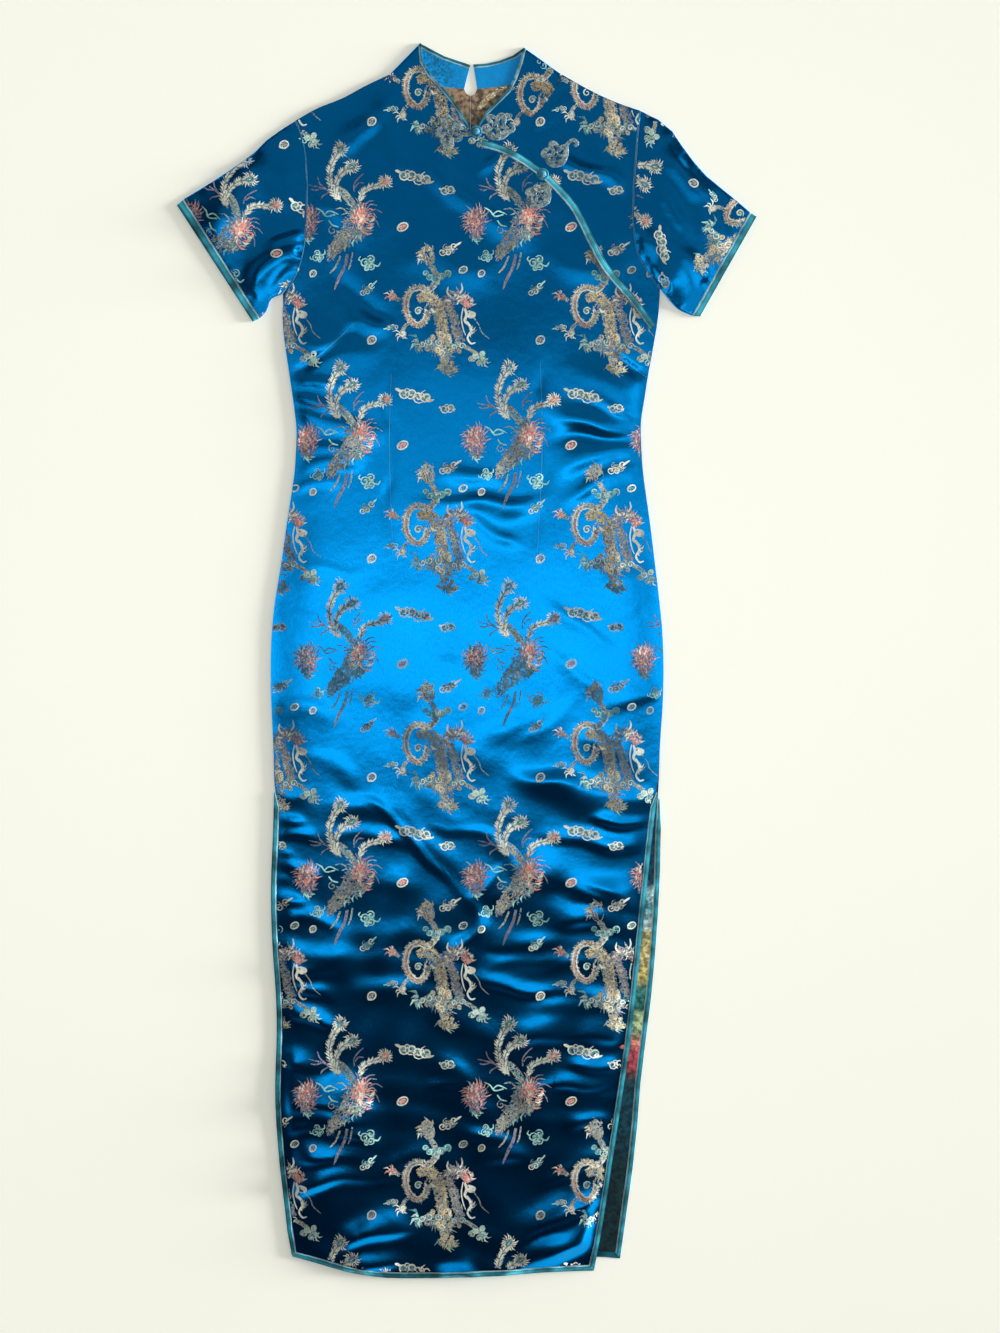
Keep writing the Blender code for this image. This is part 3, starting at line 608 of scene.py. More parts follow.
class Loom:
    """Draws a woven figure in the plane, in millimetres, with ribbons of yarn.

    Every stroke takes its greatest width, its yarn, and how many layers lie under it.
    """

    def __init__(self, seed: int) -> None:
        """Start an empty figure, with a seed for the small unevenness of its strokes."""
        self.bm = bmesh.new()
        self.rng = random.Random(seed)

    def ribbon(self, path: list[Vector], width: float, yarn: Yarn, layer: int = 0,
               ends: Point = (0.3, 0.1)) -> None:
        """Lay a ribbon along a path: a grid one cell wide, bent to it.

        Args:
            path: The ribbon's middle line.
            ends: Its width at its start and end, as shares of the greatest.
        """
        steps = len(path) - 1
        cloth = bmesh.ops.create_grid(self.bm, x_segments=steps, y_segments=1, size=0.5)["verts"]
        ahead = headings(path)
        for vert in cloth:
            share = vert.co.x + 0.5
            i = round(share * steps)
            swell = math.sin(math.pi * share) ** 0.6 if 0.0 < share < 1.0 else 0.0
            base = ends[0] * (1 - share) + ends[1] * share
            half = 0.5 * width * (base + (1 - base) * swell)
            side = to_left(ahead[i]) * (half if vert.co.y > 0 else -half)
            vert.co = path[i] + side + Vector((0.0, 0.0, layer))
        self.dye(cloth, yarn)

    def dye(self, verts: list[Vert], yarn: Yarn) -> None:
        """Give the faces of some points a colour of yarn."""
        for face in {face for vert in verts for face in vert.link_faces}:
            face.material_index = yarn.value
            face.smooth = True

    def disc(self, centre: Vector, size: Point, angle: float, yarn: Yarn, layer: int = 0, points: int = 10) -> None:
        """Lay an oval disc.

        Args:
            centre: Its centre.
            size: Its half length and half width.
            angle: How far it is turned.
            points: How many corners it has.
        """
        turn = Matrix.Translation(centre + Vector((0.0, 0.0, layer))) @ Matrix.Rotation(angle, 4, "Z")
        shape = turn @ Matrix.Diagonal((*size, 1.0, 1.0))
        verts = bmesh.ops.create_circle(self.bm, cap_ends=True, segments=points, radius=1.0, matrix=shape)["verts"]
        self.dye(verts, yarn)

    def leaf(self, root: Vector, angle: float, length: float, width: float, yarn: Yarn, layer: int = 0,
             hook: float = 0.15) -> None:
        """Lay a pointed leaf or barb, which hooks to its left by an angle."""
        middle = root + polar(angle - hook, length * 0.55)
        self.ribbon([root, middle, root + polar(angle, length)], width, yarn, layer, (0.35, 0.05))

    def strand(self, points: tuple[Point, ...], width: float, yarn: Yarn, layer: int = 0,
               ends: Point = (0.9, 0.2)) -> None:
        """Lay a ribbon along a smooth curve through some points."""
        self.ribbon(bend(points, 4), width, yarn, layer, ends)

    def curl(self, centre: Vector, radius: float, turns: float, start: float, width: float, yarn: Yarn,
             layer: int = 0, hand: float = 1.0) -> None:
        """Lay a spiral that winds in to its centre.

        Args:
            centre: Its centre.
            radius: How far from the centre it starts.
            turns: How often it goes round.
            start: The angle at which it starts.
            hand: 1 to wind to the left and -1 to the right.
        """
        steps = max(5, round(turns * 9))
        path = [centre + polar(start + hand * math.tau * turns * i / steps, radius * (1 - 0.8 * i / steps))
                for i in range(steps + 1)]
        self.ribbon(path, width, yarn, layer, (0.4, 0.5))

    def fan(self, centre: Vector, spread: Point, count: int, reach: Point, width: float, yarns: tuple[Yarn, ...],
            layer: int = 0, hook: float = 0.25) -> None:
        """Lay leaves that stand out from a centre.

        Args:
            centre: The fan's centre.
            spread: The angles of its first and last leaf.
            count: How many leaves it has.
            reach: How far from the centre they start and end.
            yarns: Their colours, in turn.
            hook: How much they hook to their left.
        """
        for i in range(count):
            angle = spread[0] + (spread[1] - spread[0]) * i / max(1, count - 1) + self.rng.uniform(-0.1, 0.1)
            length = (reach[1] - reach[0]) * self.rng.uniform(0.5, 1.25)
            self.leaf(centre + polar(angle, reach[0]), angle, length, width, yarns[i % len(yarns)], layer, hook)

    def barbs(self, path: list[Vector], length: float, width: float, yarns: tuple[Yarn, ...], layer: int,
              slant: float) -> None:
        """Lay barbs on both sides of a path, as on a feather or a spine.

        Args:
            path: Where they are rooted.
            length: Their length.
            yarns: Their colours, in turn.
            slant: The angle between them and the path.
        """
        for i, (point, ahead) in enumerate(zip(path, headings(path))):
            turn = math.atan2(ahead.y, ahead.x)
            for side in (1.0, -1.0):
                grow = length * self.rng.uniform(0.7, 1.2)
                yarn = yarns[(i + (side < 0)) % len(yarns)]
                self.leaf(point, turn + side * slant, grow, width, yarn, layer, 0.15 * side)

    def scaled(self, points: tuple[Point, ...], width: float, ground: Yarn, edge: Yarn, layer: int = 1,
               ends: Point = (0.5, 0.5)) -> list[Vector]:
        """Lay a scaled body: its ground with a jagged edge, a broken pale line, and rows of scales.

        Args:
            points: Places that its middle line passes.
            ground: The colour of its ground.
            edge: The colour of its edge and line.
            ends: Its width at its start and end, as shares of the greatest.

        Returns:
            The body's middle line.
        """
        path = bend(points, 6)
        ahead = headings(path)
        self.ribbon(path, width * 0.8, ground, layer, ends)
        self.barbs(path[1:-1], width * 0.70, width * 0.27, (ground, edge, ground), layer, 1.05)
        for i, (point, forward) in enumerate(list(zip(path, ahead))[1:-1]):
            across = to_left(forward)
            if i % 3:
                self.leaf(point + across * width * 0.36 - forward * width * 0.25, math.atan2(forward.y, forward.x),
                          width * 0.55, width * 0.20, edge, layer + 2, 0.0)
            for lane in ((-0.2, 0.12) if i % 2 else (-0.04,)):
                middle = point + across * (lane + self.rng.uniform(-0.05, 0.05)) * width
                reach = width * self.rng.uniform(0.13, 0.19)
                arc = [middle - across * reach - forward * reach, middle + forward * reach * 0.8,
                       middle + across * reach - forward * reach]
                yarn = (edge, PLUM, GOLD)[self.rng.randrange(3)]
                self.ribbon(arc, width * 0.13, yarn, layer + 1, (0.6, 0.6))
        return path

    def plume(self, points: tuple[Point, ...], width: float, eye: Yarn, barb: tuple[Yarn, ...]) -> None:
        """Lay a long tail feather: a thin stem with pale barbs, and a dark eye in a jagged crown.

        Args:
            points: Places that its stem passes.
            eye: The colour of its eye.
            barb: The colours of its barbs, in turn.
        """
        path = bend(points, 5)
        ahead = headings(path)
        self.ribbon(path, width * 0.36, TAUPE, 1, (0.7, 1.0))
        self.barbs(path[1:], width * 0.80, width * 0.25, barb, 2, 0.72)
        self.ribbon(path[len(path) // 4:], width * 0.12, TEAL, 3, (0.5, 0.9))
        heading = math.atan2(ahead[-1].y, ahead[-1].x)
        end = path[-1] + ahead[-1] * width * 0.45
        self.disc(end, (width * 0.84, width * 0.52), heading, TAUPE, 2, 12)
        for i in range(15):
            way = heading + 2.6 * (i / 7 - 1)
            root = end + plan(math.cos(way) * width * 0.46, math.sin(way) * width * 0.42)
            self.leaf(root, way, width * self.rng.uniform(0.5, 0.95), width * 0.21, barb[i % len(barb)], 3, 0.35)
        self.disc(end, (width * 0.60, width * 0.34), heading, eye, 4, 9)
        self.leaf(end - ahead[-1] * width * 0.3, heading, width * 0.55, width * 0.12, CREAM, 5)

    def patch(self, centre: Vector, size: Point, angle: float, yarns: tuple[Yarn, ...], pitch: float,
              layer: int = 2) -> None:
        """Fill an oval with overlapping small feathers.

        Args:
            centre: The oval's centre.
            size: Its half length and half width.
            angle: Where its length points.
            yarns: The feathers' colours, picked at random.
            pitch: How far apart the feathers are.
        """
        heading = polar(angle, 1.0)
        side = to_left(heading)
        for row in range(int(2 * size[0] / pitch)):
            ahead = -size[0] + (row + 0.5) * pitch
            reach = size[1] * math.sqrt(max(0.0, 1 - (ahead / size[0]) ** 2))
            count = max(1, int(2 * reach / pitch))
            for i in range(count):
                root = centre + heading * ahead + side * (i - (count - 1) / 2) * pitch
                yarn = yarns[self.rng.randrange(len(yarns))]
                self.leaf(root, angle + self.rng.uniform(-0.5, 0.5), pitch * 1.5, pitch * 0.6, yarn, layer + row % 2)

    def bank(self, centre: Vector, size: Point, count: int, yarns: tuple[Yarn, ...], line: Yarn) -> None:
        """Lay a bank of curled cloud: lobes of ground with scrolls over them.

        Args:
            centre: The bank's centre.
            size: Its half length and half width.
            count: How many lobes it has.
            yarns: The lobes' colours, in turn.
            line: The colour of every second scroll.
        """
        for i in range(count):
            angle = i * GOLDEN_ANGLE
            reach = math.sqrt((i + 0.5) / count)
            spot = centre + plan(size[0] * reach * math.cos(angle), size[1] * reach * math.sin(angle))
            radius = self.rng.uniform(3.0, 4.6)
            self.disc(spot, (radius, radius * 0.8), angle, yarns[i % len(yarns)], 1, 8)
            scroll, hand = (line, 1.0) if i % 2 else (yarns[(i + 1) % len(yarns)], -1.0)
            self.curl(spot, radius * 1.05, 1.2, angle, 1.15, scroll, 2, hand)

    def flatten(self) -> None:
        """Turn the figure into metres, with its layers still in whole steps."""
        bmesh.ops.scale(self.bm, vec=(MM, MM, 1.0), verts=self.bm.verts)

    def finish(self, name: str) -> bpy.types.Mesh:
        """Return the figure as a mesh of that name, in metres but for its layers."""
        self.flatten()
        mesh = bpy.data.meshes.new(name)
        self.bm.to_mesh(mesh)
        self.bm.free()
        return mesh


@dataclass(frozen=True)
class Phoenix:
    """A long-tailed bird in flight, about 100 mm wide and 170 mm tall."""

    plume_width: float = 8.6
    breast: float = 9.0

    def draw(self, loom: Loom) -> None:
        """Draw the bird round its breast at the origin."""
        pale = (CREAM, CREAM, CREAM, TAUPE)
        loom.strand(((-24, 32), (-15, 22), (-6, 10)), 9.0, TAUPE, 0, (0.4, 0.8))
        loom.strand(((-23, 30), (-14, 19), (-6, 8)), 2.0, TEAL, 1, (0.6, 0.8))
        loom.plume(((-26, 17), (-33, 34), (-34, 50), (-30, 62), (-24, 72)), self.plume_width, TEAL, pale)
        loom.plume(((-21, 16), (-27, 26), (-26, 39), (-20, 49), (-12, 54)), self.plume_width, TEAL, pale)
        loom.plume(((0, 14), (3, 25), (10, 31), (20, 34), (26, 37)), self.plume_width * 0.95, CORAL, pale)
        self.tendrils(loom)
        self.trunk(loom)
        self.tail(loom)
        centre = plan(0, -1)
        loom.fan(centre, (-1.4, 4.4), 26, (self.breast * 0.5, self.breast * 1.6), 1.8,
                 (CORAL, TAUPE, PLUM, CORAL), 3, 0.3)
        loom.disc(centre, (self.breast * 0.72, self.breast * 1.1), 0.2, CORAL, 4, 14)
        loom.patch(centre, (self.breast * 1.3, self.breast * 0.85), 1.75,
                   (CORAL, CREAM, CORAL, PLUM, GOLD), 2.6, 5)
        loom.disc(plan(2, -5), (2.8, 1.9), 0.5, CREAM, 7, 8)
        loom.fan(plan(1, -10), (4.0, 5.8), 6, (0, 9), 2.2, (CREAM, CORAL, TAUPE), 6, 0.4)

    def tendrils(self, loom: Loom) -> None:
        """Draw the fine plumes that wave at both sides."""
        wisps = (
            (PLUM, ((-32, 26), (-42, 31), (-58, 35))), (PLUM, ((-38, 30), (-45, 36), (-48, 44))),
            (PLUM, ((-34, 27), (-42, 22), (-44, 18))), (PLUM, ((-42, 31), (-50, 29), (-56, 30))),
            (MINT, ((-28, 1), (-38, -1), (-43, 5), (-50, 9))), (MINT, ((-40, 1), (-34, 5), (-24, 1))),
            (MINT, ((-35, -6), (-31, -11), (-24, -13))), (TAUPE, ((-12, 2), (-20, 8), (-28, 7))),
            (PLUM, ((-6, 27), (-6, 36), (0, 44), (5, 48))), (PLUM, ((-5, 32), (-1, 37), (5, 37))))
        for yarn, points in wisps:
            loom.strand(points, 1.7, yarn, 1, (0.9, 0.3))
        for i in range(12):
            way = 1.5 - 0.22 * i
            sweep = 13 + 5 * math.sin(2.3 * i)
            start, end = polar(way, 8), polar(way - 0.08, 9 + sweep)
            middle = polar(way + 0.2, 9 + sweep * 0.55)
            loom.strand((start[:2], middle[:2], end[:2]), 1.5, (PLUM, TAUPE, CORAL)[i % 3], 2, (0.9, 0.3))
        for i in range(8):
            way = 1.7 + 0.22 * i
            loom.leaf(polar(way, 6), way + 0.15, 15 - (i % 3) * 3, 2.6, (TAUPE, TEAL, PLUM)[i % 3], 1, 0.3)

    def trunk(self, loom: Loom) -> None:
        """Draw the body and the broad wing that sweeps down to the left."""
        lobes = ((-8, -14, 14, 11, 0.9), (-19, -27, 15, 9, 1.0), (-29, -38, 12, 6, 1.2), (0, -20, 9, 7, 0.7))
        feathers = (TAUPE, PLUM, TEAL, TAUPE, GOLD)
        for x, y, long, wide, way in lobes:
            spot = plan(x, y)
            loom.disc(spot, (long, wide), way, TAUPE, 0, 14)
            loom.fan(spot, (2.2, 5.6), 13, (wide * 0.75, wide * 1.35), 2.6, (TAUPE, PLUM, TAUPE), 1, 0.4)
            loom.patch(spot, (long * 1.15, wide * 1.1), way + 3.1, feathers, 3.0, 2)
        for i in range(7):
            root = plan(3 + 1.6 * i, -18 + 2.2 * i)
            loom.leaf(root, -0.2 + 0.16 * i, 12.5 - 0.9 * i, 2.6, (CORAL, TAUPE, CREAM)[i % 3], 3, 0.3)
        for i in range(5):
            loom.leaf(plan(-14 + 4 * i, -33 + 3 * i), 4.4 + 0.1 * i, 9.0, 2.2, (MINT, TEAL)[i % 2], 4, 0.4)
        loom.curl(plan(-31, -17), 5.0, 1.2, 1.4, 1.3, TAUPE, 4)

    def tail(self, loom: Loom) -> None:
        """Draw the thin feathers of the tail below the wing."""
        loom.strand(((-14, -44), (-17, -58), (-24, -72), (-29, -85)), 3.6, PLUM, 1, (0.9, 0.15))
        loom.strand(((-22, -46), (-27, -58), (-34, -66)), 2.4, TAUPE, 1, (0.9, 0.15))
        loom.strand(((-8, -42), (-10, -54), (-13, -62)), 2.0, TAUPE, 1, (0.9, 0.15))


@dataclass(frozen=True)
class Dragon:
    """A scaled dragon over curling flames, about 120 mm wide and 160 mm tall."""

    width: float = 9.4

    def draw(self, loom: Loom) -> None:
        """Draw the dragon round the middle of its coil."""
        flanks = ((13, -4, 12, 6, 1.2), (26, -2, 15, 8, 0.4), (27, -22, 20, 9, 1.8), (44, -26, 20, 7, 1.8))
        for x, y, long, wide, way in flanks:
            loom.patch(plan(x, y), (long, wide), way, (TAUPE, PLUM, TAUPE, TEAL), 3.6, 0)
        coil = ((24, 38), (21, 27), (12, 18), (2, 21), (-8, 17), (-13, 6), (-13, -7), (-7, -18), (1, -22), (9, -16),
                (12, -5))
        loop = loom.scaled(coil, self.width * 0.86, TAUPE, CREAM, 2, (0.6, 0.8))
        beside = [point + plan(-1.5, 0.5) for point in loop[18:-20]]
        loom.ribbon(beside, self.width * 0.12, CREAM, 5, (0.3, 0.3))
        loom.ribbon(loop[26:-8], self.width * 0.11, CORAL, 5, (0.3, 0.3))
        belly = ((0, 7), (9, 10), (19, 6), (25, -5), (27, -18), (28, -32), (31, -46))
        loom.scaled(belly, self.width * 1.35, TAUPE, GOLD, 1, (0.5, 0.6))
        haunch = ((31, 8), (37, -3), (41, -16), (44, -30), (51, -42))
        loom.scaled(haunch, self.width, TAUPE, PLUM, 1, (0.7, 0.4))
        loom.disc(plan(1, -6), (4.4, 3.4), 0.9, TEAL, 1, 9)
        loom.curl(plan(1, -6), 5.0, 1.3, 0.4, 1.3, CREAM, 2)
        loom.leaf(plan(15, -3), -0.5, 9.0, 3.6, CREAM, 6, 0.4)
        self.tail(loom)
        self.claws(loom)
        self.flames(loom)
        self.head(loom)

    def tail(self, loom: Loom) -> None:
        """Draw the leaf at the tail's end and the lobes under it."""
        tip = plan(12, 57)
        loom.disc(tip, (12.0, 7.6), 1.85, TAUPE, 0, 14)
        loom.fan(tip, (1.2, 3.0), 6, (6, 15), 3.4, (TAUPE, GOLD), 0, 0.5)
        loom.fan(plan(9, 55), (2.6, 4.2), 5, (3, 12), 2.6, (TAUPE, CREAM), 1, 0.7)
        for i in range(5):
            loom.leaf(plan(14 - 1.7 * i, 47 + i), 1.9, 14, 1.2, (GOLD, PLUM)[i % 2], 2, 0.1)
        loom.strand(((14, 46), (18, 42), (21, 35)), 6.5, TAUPE, 1, (0.7, 1.0))
        for x, y, reach in ((34, 37, 5.0), (27, 33, 5.0), (21, 31, 6.0), (9, 37, 3.6), (14, 33, 4.2)):
            loom.disc(plan(x, y), (reach, reach * 0.8), 0.3, TEAL, 3, 9)
            loom.curl(plan(x, y), reach, 1.1, 0.7 * x, 1.1, MINT, 4)

    def claws(self, loom: Loom) -> None:
        """Draw the feet with their claws."""
        for x, y, way, yarn in ((-28, 11, 2.9, CORAL), (-17, -31, 4.2, CREAM), (74, -62, 5.4, MINT)):
            spot = plan(x, y)
            loom.disc(spot, (4.6, 3.8), way, yarn, 2, 9)
            loom.curl(spot, 5.4, 1.2, way, 1.2, TAUPE, 3)
            loom.fan(spot, (way - 1.2, way + 1.2), 5, (3.0, 10.0), 1.9, (CREAM, yarn), 3, 0.5)
        loom.strand(((-20, 6), (-25, 9), (-28, 11)), 5.0, TAUPE, 1)
        loom.strand(((-12, -21), (-16, -26), (-17, -31)), 4.4, TAUPE, 1)
        loom.strand(((48, -44), (60, -50), (68, -56), (74, -62)), 5.0, TAUPE, 0)
        loom.bank(plan(70, -60), (8, 7), 5, (TAUPE, MINT), CREAM)

    def flames(self, loom: Loom) -> None:
        """Draw the banks of cloud and the flames below the body."""
        loom.bank(plan(30, -44), (26, 11), 20, (TAUPE, TEAL, TAUPE, GOLD), CREAM)
        loom.fan(plan(30, -42), (3.1, 6.3), 26, (8, 22), 3.0, (TAUPE, TEAL, PLUM), 0, 0.5)
        loom.fan(plan(4, -42), (2.6, 5.0), 9, (3, 15), 3.4, (TEAL, MINT, TAUPE), 1, 0.5)
        loom.bank(plan(35, -70), (10, 7), 7, (TAUPE, GOLD), TAUPE)
        loom.fan(plan(35, -68), (3.0, 6.3), 13, (4, 15), 3.0, (TAUPE, GOLD, TEAL), 0, 0.6)
        loom.strand(((30, -52), (28, -60), (32, -68)), 6.0, TAUPE, 1, (0.9, 0.8))

    def head(self, loom: Loom) -> None:
        """Draw the head at the right, with its mane, horns and whiskers."""
        crown = plan(44, 6)
        loom.scaled(((31, -4), (34, 6), (42, 11), (50, 9)), 10.0, TAUPE, PLUM, 2, (0.5, 0.7))
        loom.fan(crown, (-0.4, 3.4), 24, (5, 15), 2.4, (TAUPE, PLUM, CREAM, TAUPE), 3, 0.35)
        loom.patch(crown, (9, 6), 0.6, (PLUM, TAUPE, CREAM), 2.8, 4)
        for points in (((38, 10), (34, 15), (35, 22)), ((48, 14), (51, 19), (50, 26))):
            loom.strand(points, 2.0, CREAM, 6, (0.9, 0.2))
        loom.disc(plan(55, 3), (6.4, 4.0), -0.9, CORAL, 6, 12)
        loom.fan(plan(56, 4), (-0.9, 2.0), 13, (4, 10), 1.9, (CREAM, TAUPE, CORAL), 5, 0.4)
        loom.patch(plan(55, 3), (7.0, 4.4), -1.1, (CREAM, CORAL, PLUM, CORAL), 2.4, 7)
        loom.disc(plan(59, -10), (5.4, 3.6), -0.7, CREAM, 7, 10)
        beard = ((3.2, ((54, -3), (56, -10), (54, -17), (58, -22))), (2.8, ((58, -6), (65, -9), (63, -14))),
                 (3.2, ((56, -18), (61, -26), (60, -34))), (2.2, ((60, -30), (57, -37), (61, -43), (66, -42))))
        for width, points in beard:
            loom.strand(points, width, CREAM, 8, (0.8, 0.4))
        loom.fan(plan(59, -29), (-1.2, 1.6), 7, (2, 8), 1.7, (CREAM, TAUPE), 8, 0.5)
        loom.disc(plan(58, -8), (1.2, 1.0), 0.0, PLUM, 10, 6)
        loom.strand(((63, -12), (70, -22), (73, -30), (82, -38)), 1.4, TAUPE, 8, (0.8, 0.3))
        loom.strand(((52, -2), (50, -14), (52, -26), (55, -34)), 1.5, CREAM, 6, (0.8, 0.3))


@dataclass(frozen=True)
class Peony:
    """A jagged flower with a leaf or two below, about 30 mm across."""

    petal: Yarn = CORAL
    heart: Yarn = CREAM
    radius: float = 12.0

    def draw(self, loom: Loom) -> None:
        """Draw the flower round its heart."""
        reach = self.radius
        loom.fan(plan(0.0, -0.9 * reach), (3.4, 5.6), 6, (1, 10), 3.2, (TEAL, MINT), 0, 0.5)
        stem = ((-0.4 * reach, -reach), (-0.3 * reach, -1.35 * reach), (0.2 * reach, -1.5 * reach))
        loom.strand(stem, 1.6, MINT, 1)
        loom.disc(plan(0, 0), (reach * 0.58, reach * 0.9), 0.1, self.petal, 1, 14)
        loom.patch(plan(0, 0), (reach * 1.12, reach * 0.8), 1.5,
                   (self.petal, self.petal, PLUM, self.petal, self.heart), 2.9, 3)
        loom.fan(plan(0, 0.15 * reach), (0.0, 3.2), 17, (reach * 0.55, reach * 1.5), 1.9,
                 (self.petal, PLUM, self.petal, TAUPE), 2, 0.4)
        loom.fan(plan(0, -0.25 * reach), (3.1, 6.3), 13, (reach * 0.5, reach * 1.15), 2.3, (self.petal, PLUM), 2,
                 0.4)
        for i in range(5):
            spot = polar(i * GOLDEN_ANGLE, reach * 0.6 * math.sqrt((i + 0.5) / 5))
            spread = (0.9 * i, 0.9 * i + 2.2)
            loom.fan(spot, spread, 3, (reach * 0.05, reach * 0.42), 2.0, (self.petal, self.heart), 5, 0.7)


@dataclass(frozen=True)
class Chain:
    """A chain of cloud curls with a drawn-out tip."""

    links: int = 4
    radius: float = 6.6
    line: Yarn = CREAM
    ground: Yarn = TAUPE

    def draw(self, loom: Loom) -> None:
        """Draw the chain round its middle."""
        step = self.radius * 1.3
        for i in range(self.links):
            x = (i - (self.links - 1) / 2) * step
            side = 1.0 if i % 2 else -1.0
            spot = plan(x, -0.12 * x + side * self.radius * 0.16)
            size = self.radius * loom.rng.uniform(0.8, 1.1)
            loom.disc(spot, (size * 0.78, size * 0.6), 0.2, TEAL, 0, 9)
            loom.curl(spot, size * 1.08, 1.4, 2.5 * i + 0.6, self.radius * 0.26, self.line, 1, side)
            beside = spot + plan(size * 0.5, -side * size * 0.5)
            yarn = self.ground if i % 3 == 1 else self.line
            loom.curl(beside, size * 0.52, 1.1, 1.3 * i, self.radius * 0.2, yarn, 2, -side)
        reach = (self.links / 2 + 0.1) * step
        drawn_out = ((-reach * 0.85, 0.10 * reach), (-reach * 1.1, 0.22 * reach), (-reach * 1.3, 0.26 * reach))
        loom.strand(drawn_out, self.radius * 0.5, self.line, 2, (0.9, 0.1))
        tip = ((reach * 0.7, -0.2 * reach), (reach * 1.0, -0.24 * reach), (reach * 1.25, -0.12 * reach))
        loom.strand(tip, self.radius * 0.34, self.line, 2, (0.9, 0.1))


@dataclass(frozen=True)
class Wisp:
    """A scribbled wisp of cloud, about 22 mm wide."""

    line: Yarn = MINT
    size: float = 9.0

    def draw(self, loom: Loom) -> None:
        """Draw the wisp round its middle."""
        reach = self.size
        curls = ((-0.55, 0.1, 0.62, 1.0, 0.5), (0.3, 0.4, 0.55, -1.0, 2.4), (0.15, -0.45, 0.5, 1.0, 4.0),
                 (-0.5, -0.6, 0.34, -1.0, 1.0))
        for x, y, size, hand, start in curls:
            loom.curl(plan(x * reach, y * reach), reach * size, 1.3, start, 1.8, self.line, 1, hand)
        right = ((0.5 * reach, -0.35 * reach), (1.0 * reach, -0.6 * reach), (1.5 * reach, -0.15 * reach))
        loom.strand(right, 1.8, self.line, 2, (0.9, 0.1))
        left = ((-0.9 * reach, 0.3 * reach), (-1.2 * reach, 0.7 * reach), (-0.9 * reach, 1.05 * reach))
        loom.strand(left, 1.6, self.line, 2, (0.9, 0.1))
        loom.disc(plan(0, 0), (reach * 0.7, reach * 0.55), 0.2, TEAL, 0, 10)


@dataclass(frozen=True)
class Lozenge:
    """A small lacy cloud with a pale tip, about 26 mm wide."""

    ground: Yarn = TAUPE
    tip: Yarn = CREAM

    def draw(self, loom: Loom) -> None:
        """Draw the cloud round its middle."""
        loom.disc(plan(-2, -1), (8.0, 4.2), 0.22, self.ground, 0, 12)
        for i, (x, y) in enumerate(((-9, -3), (-4, 1.5), (-3, -4), (2, -1), (5, 2.4))):
            loom.curl(plan(x, y), 4.6, 1.3, 1.4 * i, 1.3, self.ground if i % 2 else CREAM, 1,
                      1.0 if i % 2 else -1.0)
        loom.strand(((5, 1.5), (9, 4), (14, 6.5)), 2.4, self.tip, 2, (0.8, 0.1))


@dataclass(frozen=True)
class Ringlet:
    """A small oval ring with a coloured middle, about 13 mm wide."""

    middle: Yarn = CORAL
    size: Point = (6.4, 4.2)

    def draw(self, loom: Loom) -> None:
        """Draw the ring round its middle."""
        loom.disc(plan(0, 0), (self.size[0] * 0.7, self.size[1] * 0.6), 0.3, self.middle, 0, 9)
        turn = Matrix.Rotation(0.3, 3, "Z")
        ways = [math.tau * i / 12 for i in range(13)]
        oval = [turn @ plan(self.size[0] * math.cos(way), self.size[1] * math.sin(way)) for way in ways]
        loom.ribbon(oval, 1.7, CREAM, 1, (1.0, 1.0))
        loom.curl(plan(-3.2, -2.0), self.size[1] * 0.8, 1.0, 1.0, 1.1, CREAM, 2)


@dataclass(frozen=True)
class Setting:
    """Where a figure stands in one repeat of the weave, in millimetres and radians."""

    figure: str
    x: float
    y: float
    angle: float = 0.0
    scale: float = 1.0


@dataclass(frozen=True)
class Repeat:
    """The weave's repeat: its size, its first place, and its figures."""

    across: float = 192.0
    down: float = 249.0
    start: Point = (70.0, 9.0)
    rows: int = 4  # repeats laid each way from the first
    reach: float = 110.0  # of a figure from its place
    settings: tuple[Setting, ...] = (
        Setting("phoenix", 0, 0), Setting("dragon", 66, -103), Setting("peony_coral", 131, -6),
        Setting("peony_plum", -60, -13, 0.2, 0.95), Setting("wisp_mint", 11, -54, 0.2),
        Setting("lozenge_teal", 10, -83, 0.3, 0.85), Setting("wisp_mint", -47, -46, 0.9, 0.75),
        Setting("chain", 63, 44, -0.12), Setting("link", 100, 29, 0.06), Setting("ring_coral", 49, -13, 0.2),
        Setting("lozenge", 103, -38, 0.1), Setting("ring_cream", 14, -142, 0.4),
        Setting("ring_cream", -53, -66, 0.5, 0.8), Setting("ring_teal", 118, -62, 0.2, 0.9),
        Setting("lozenge_teal", 36, -128, 2.9, 0.6))


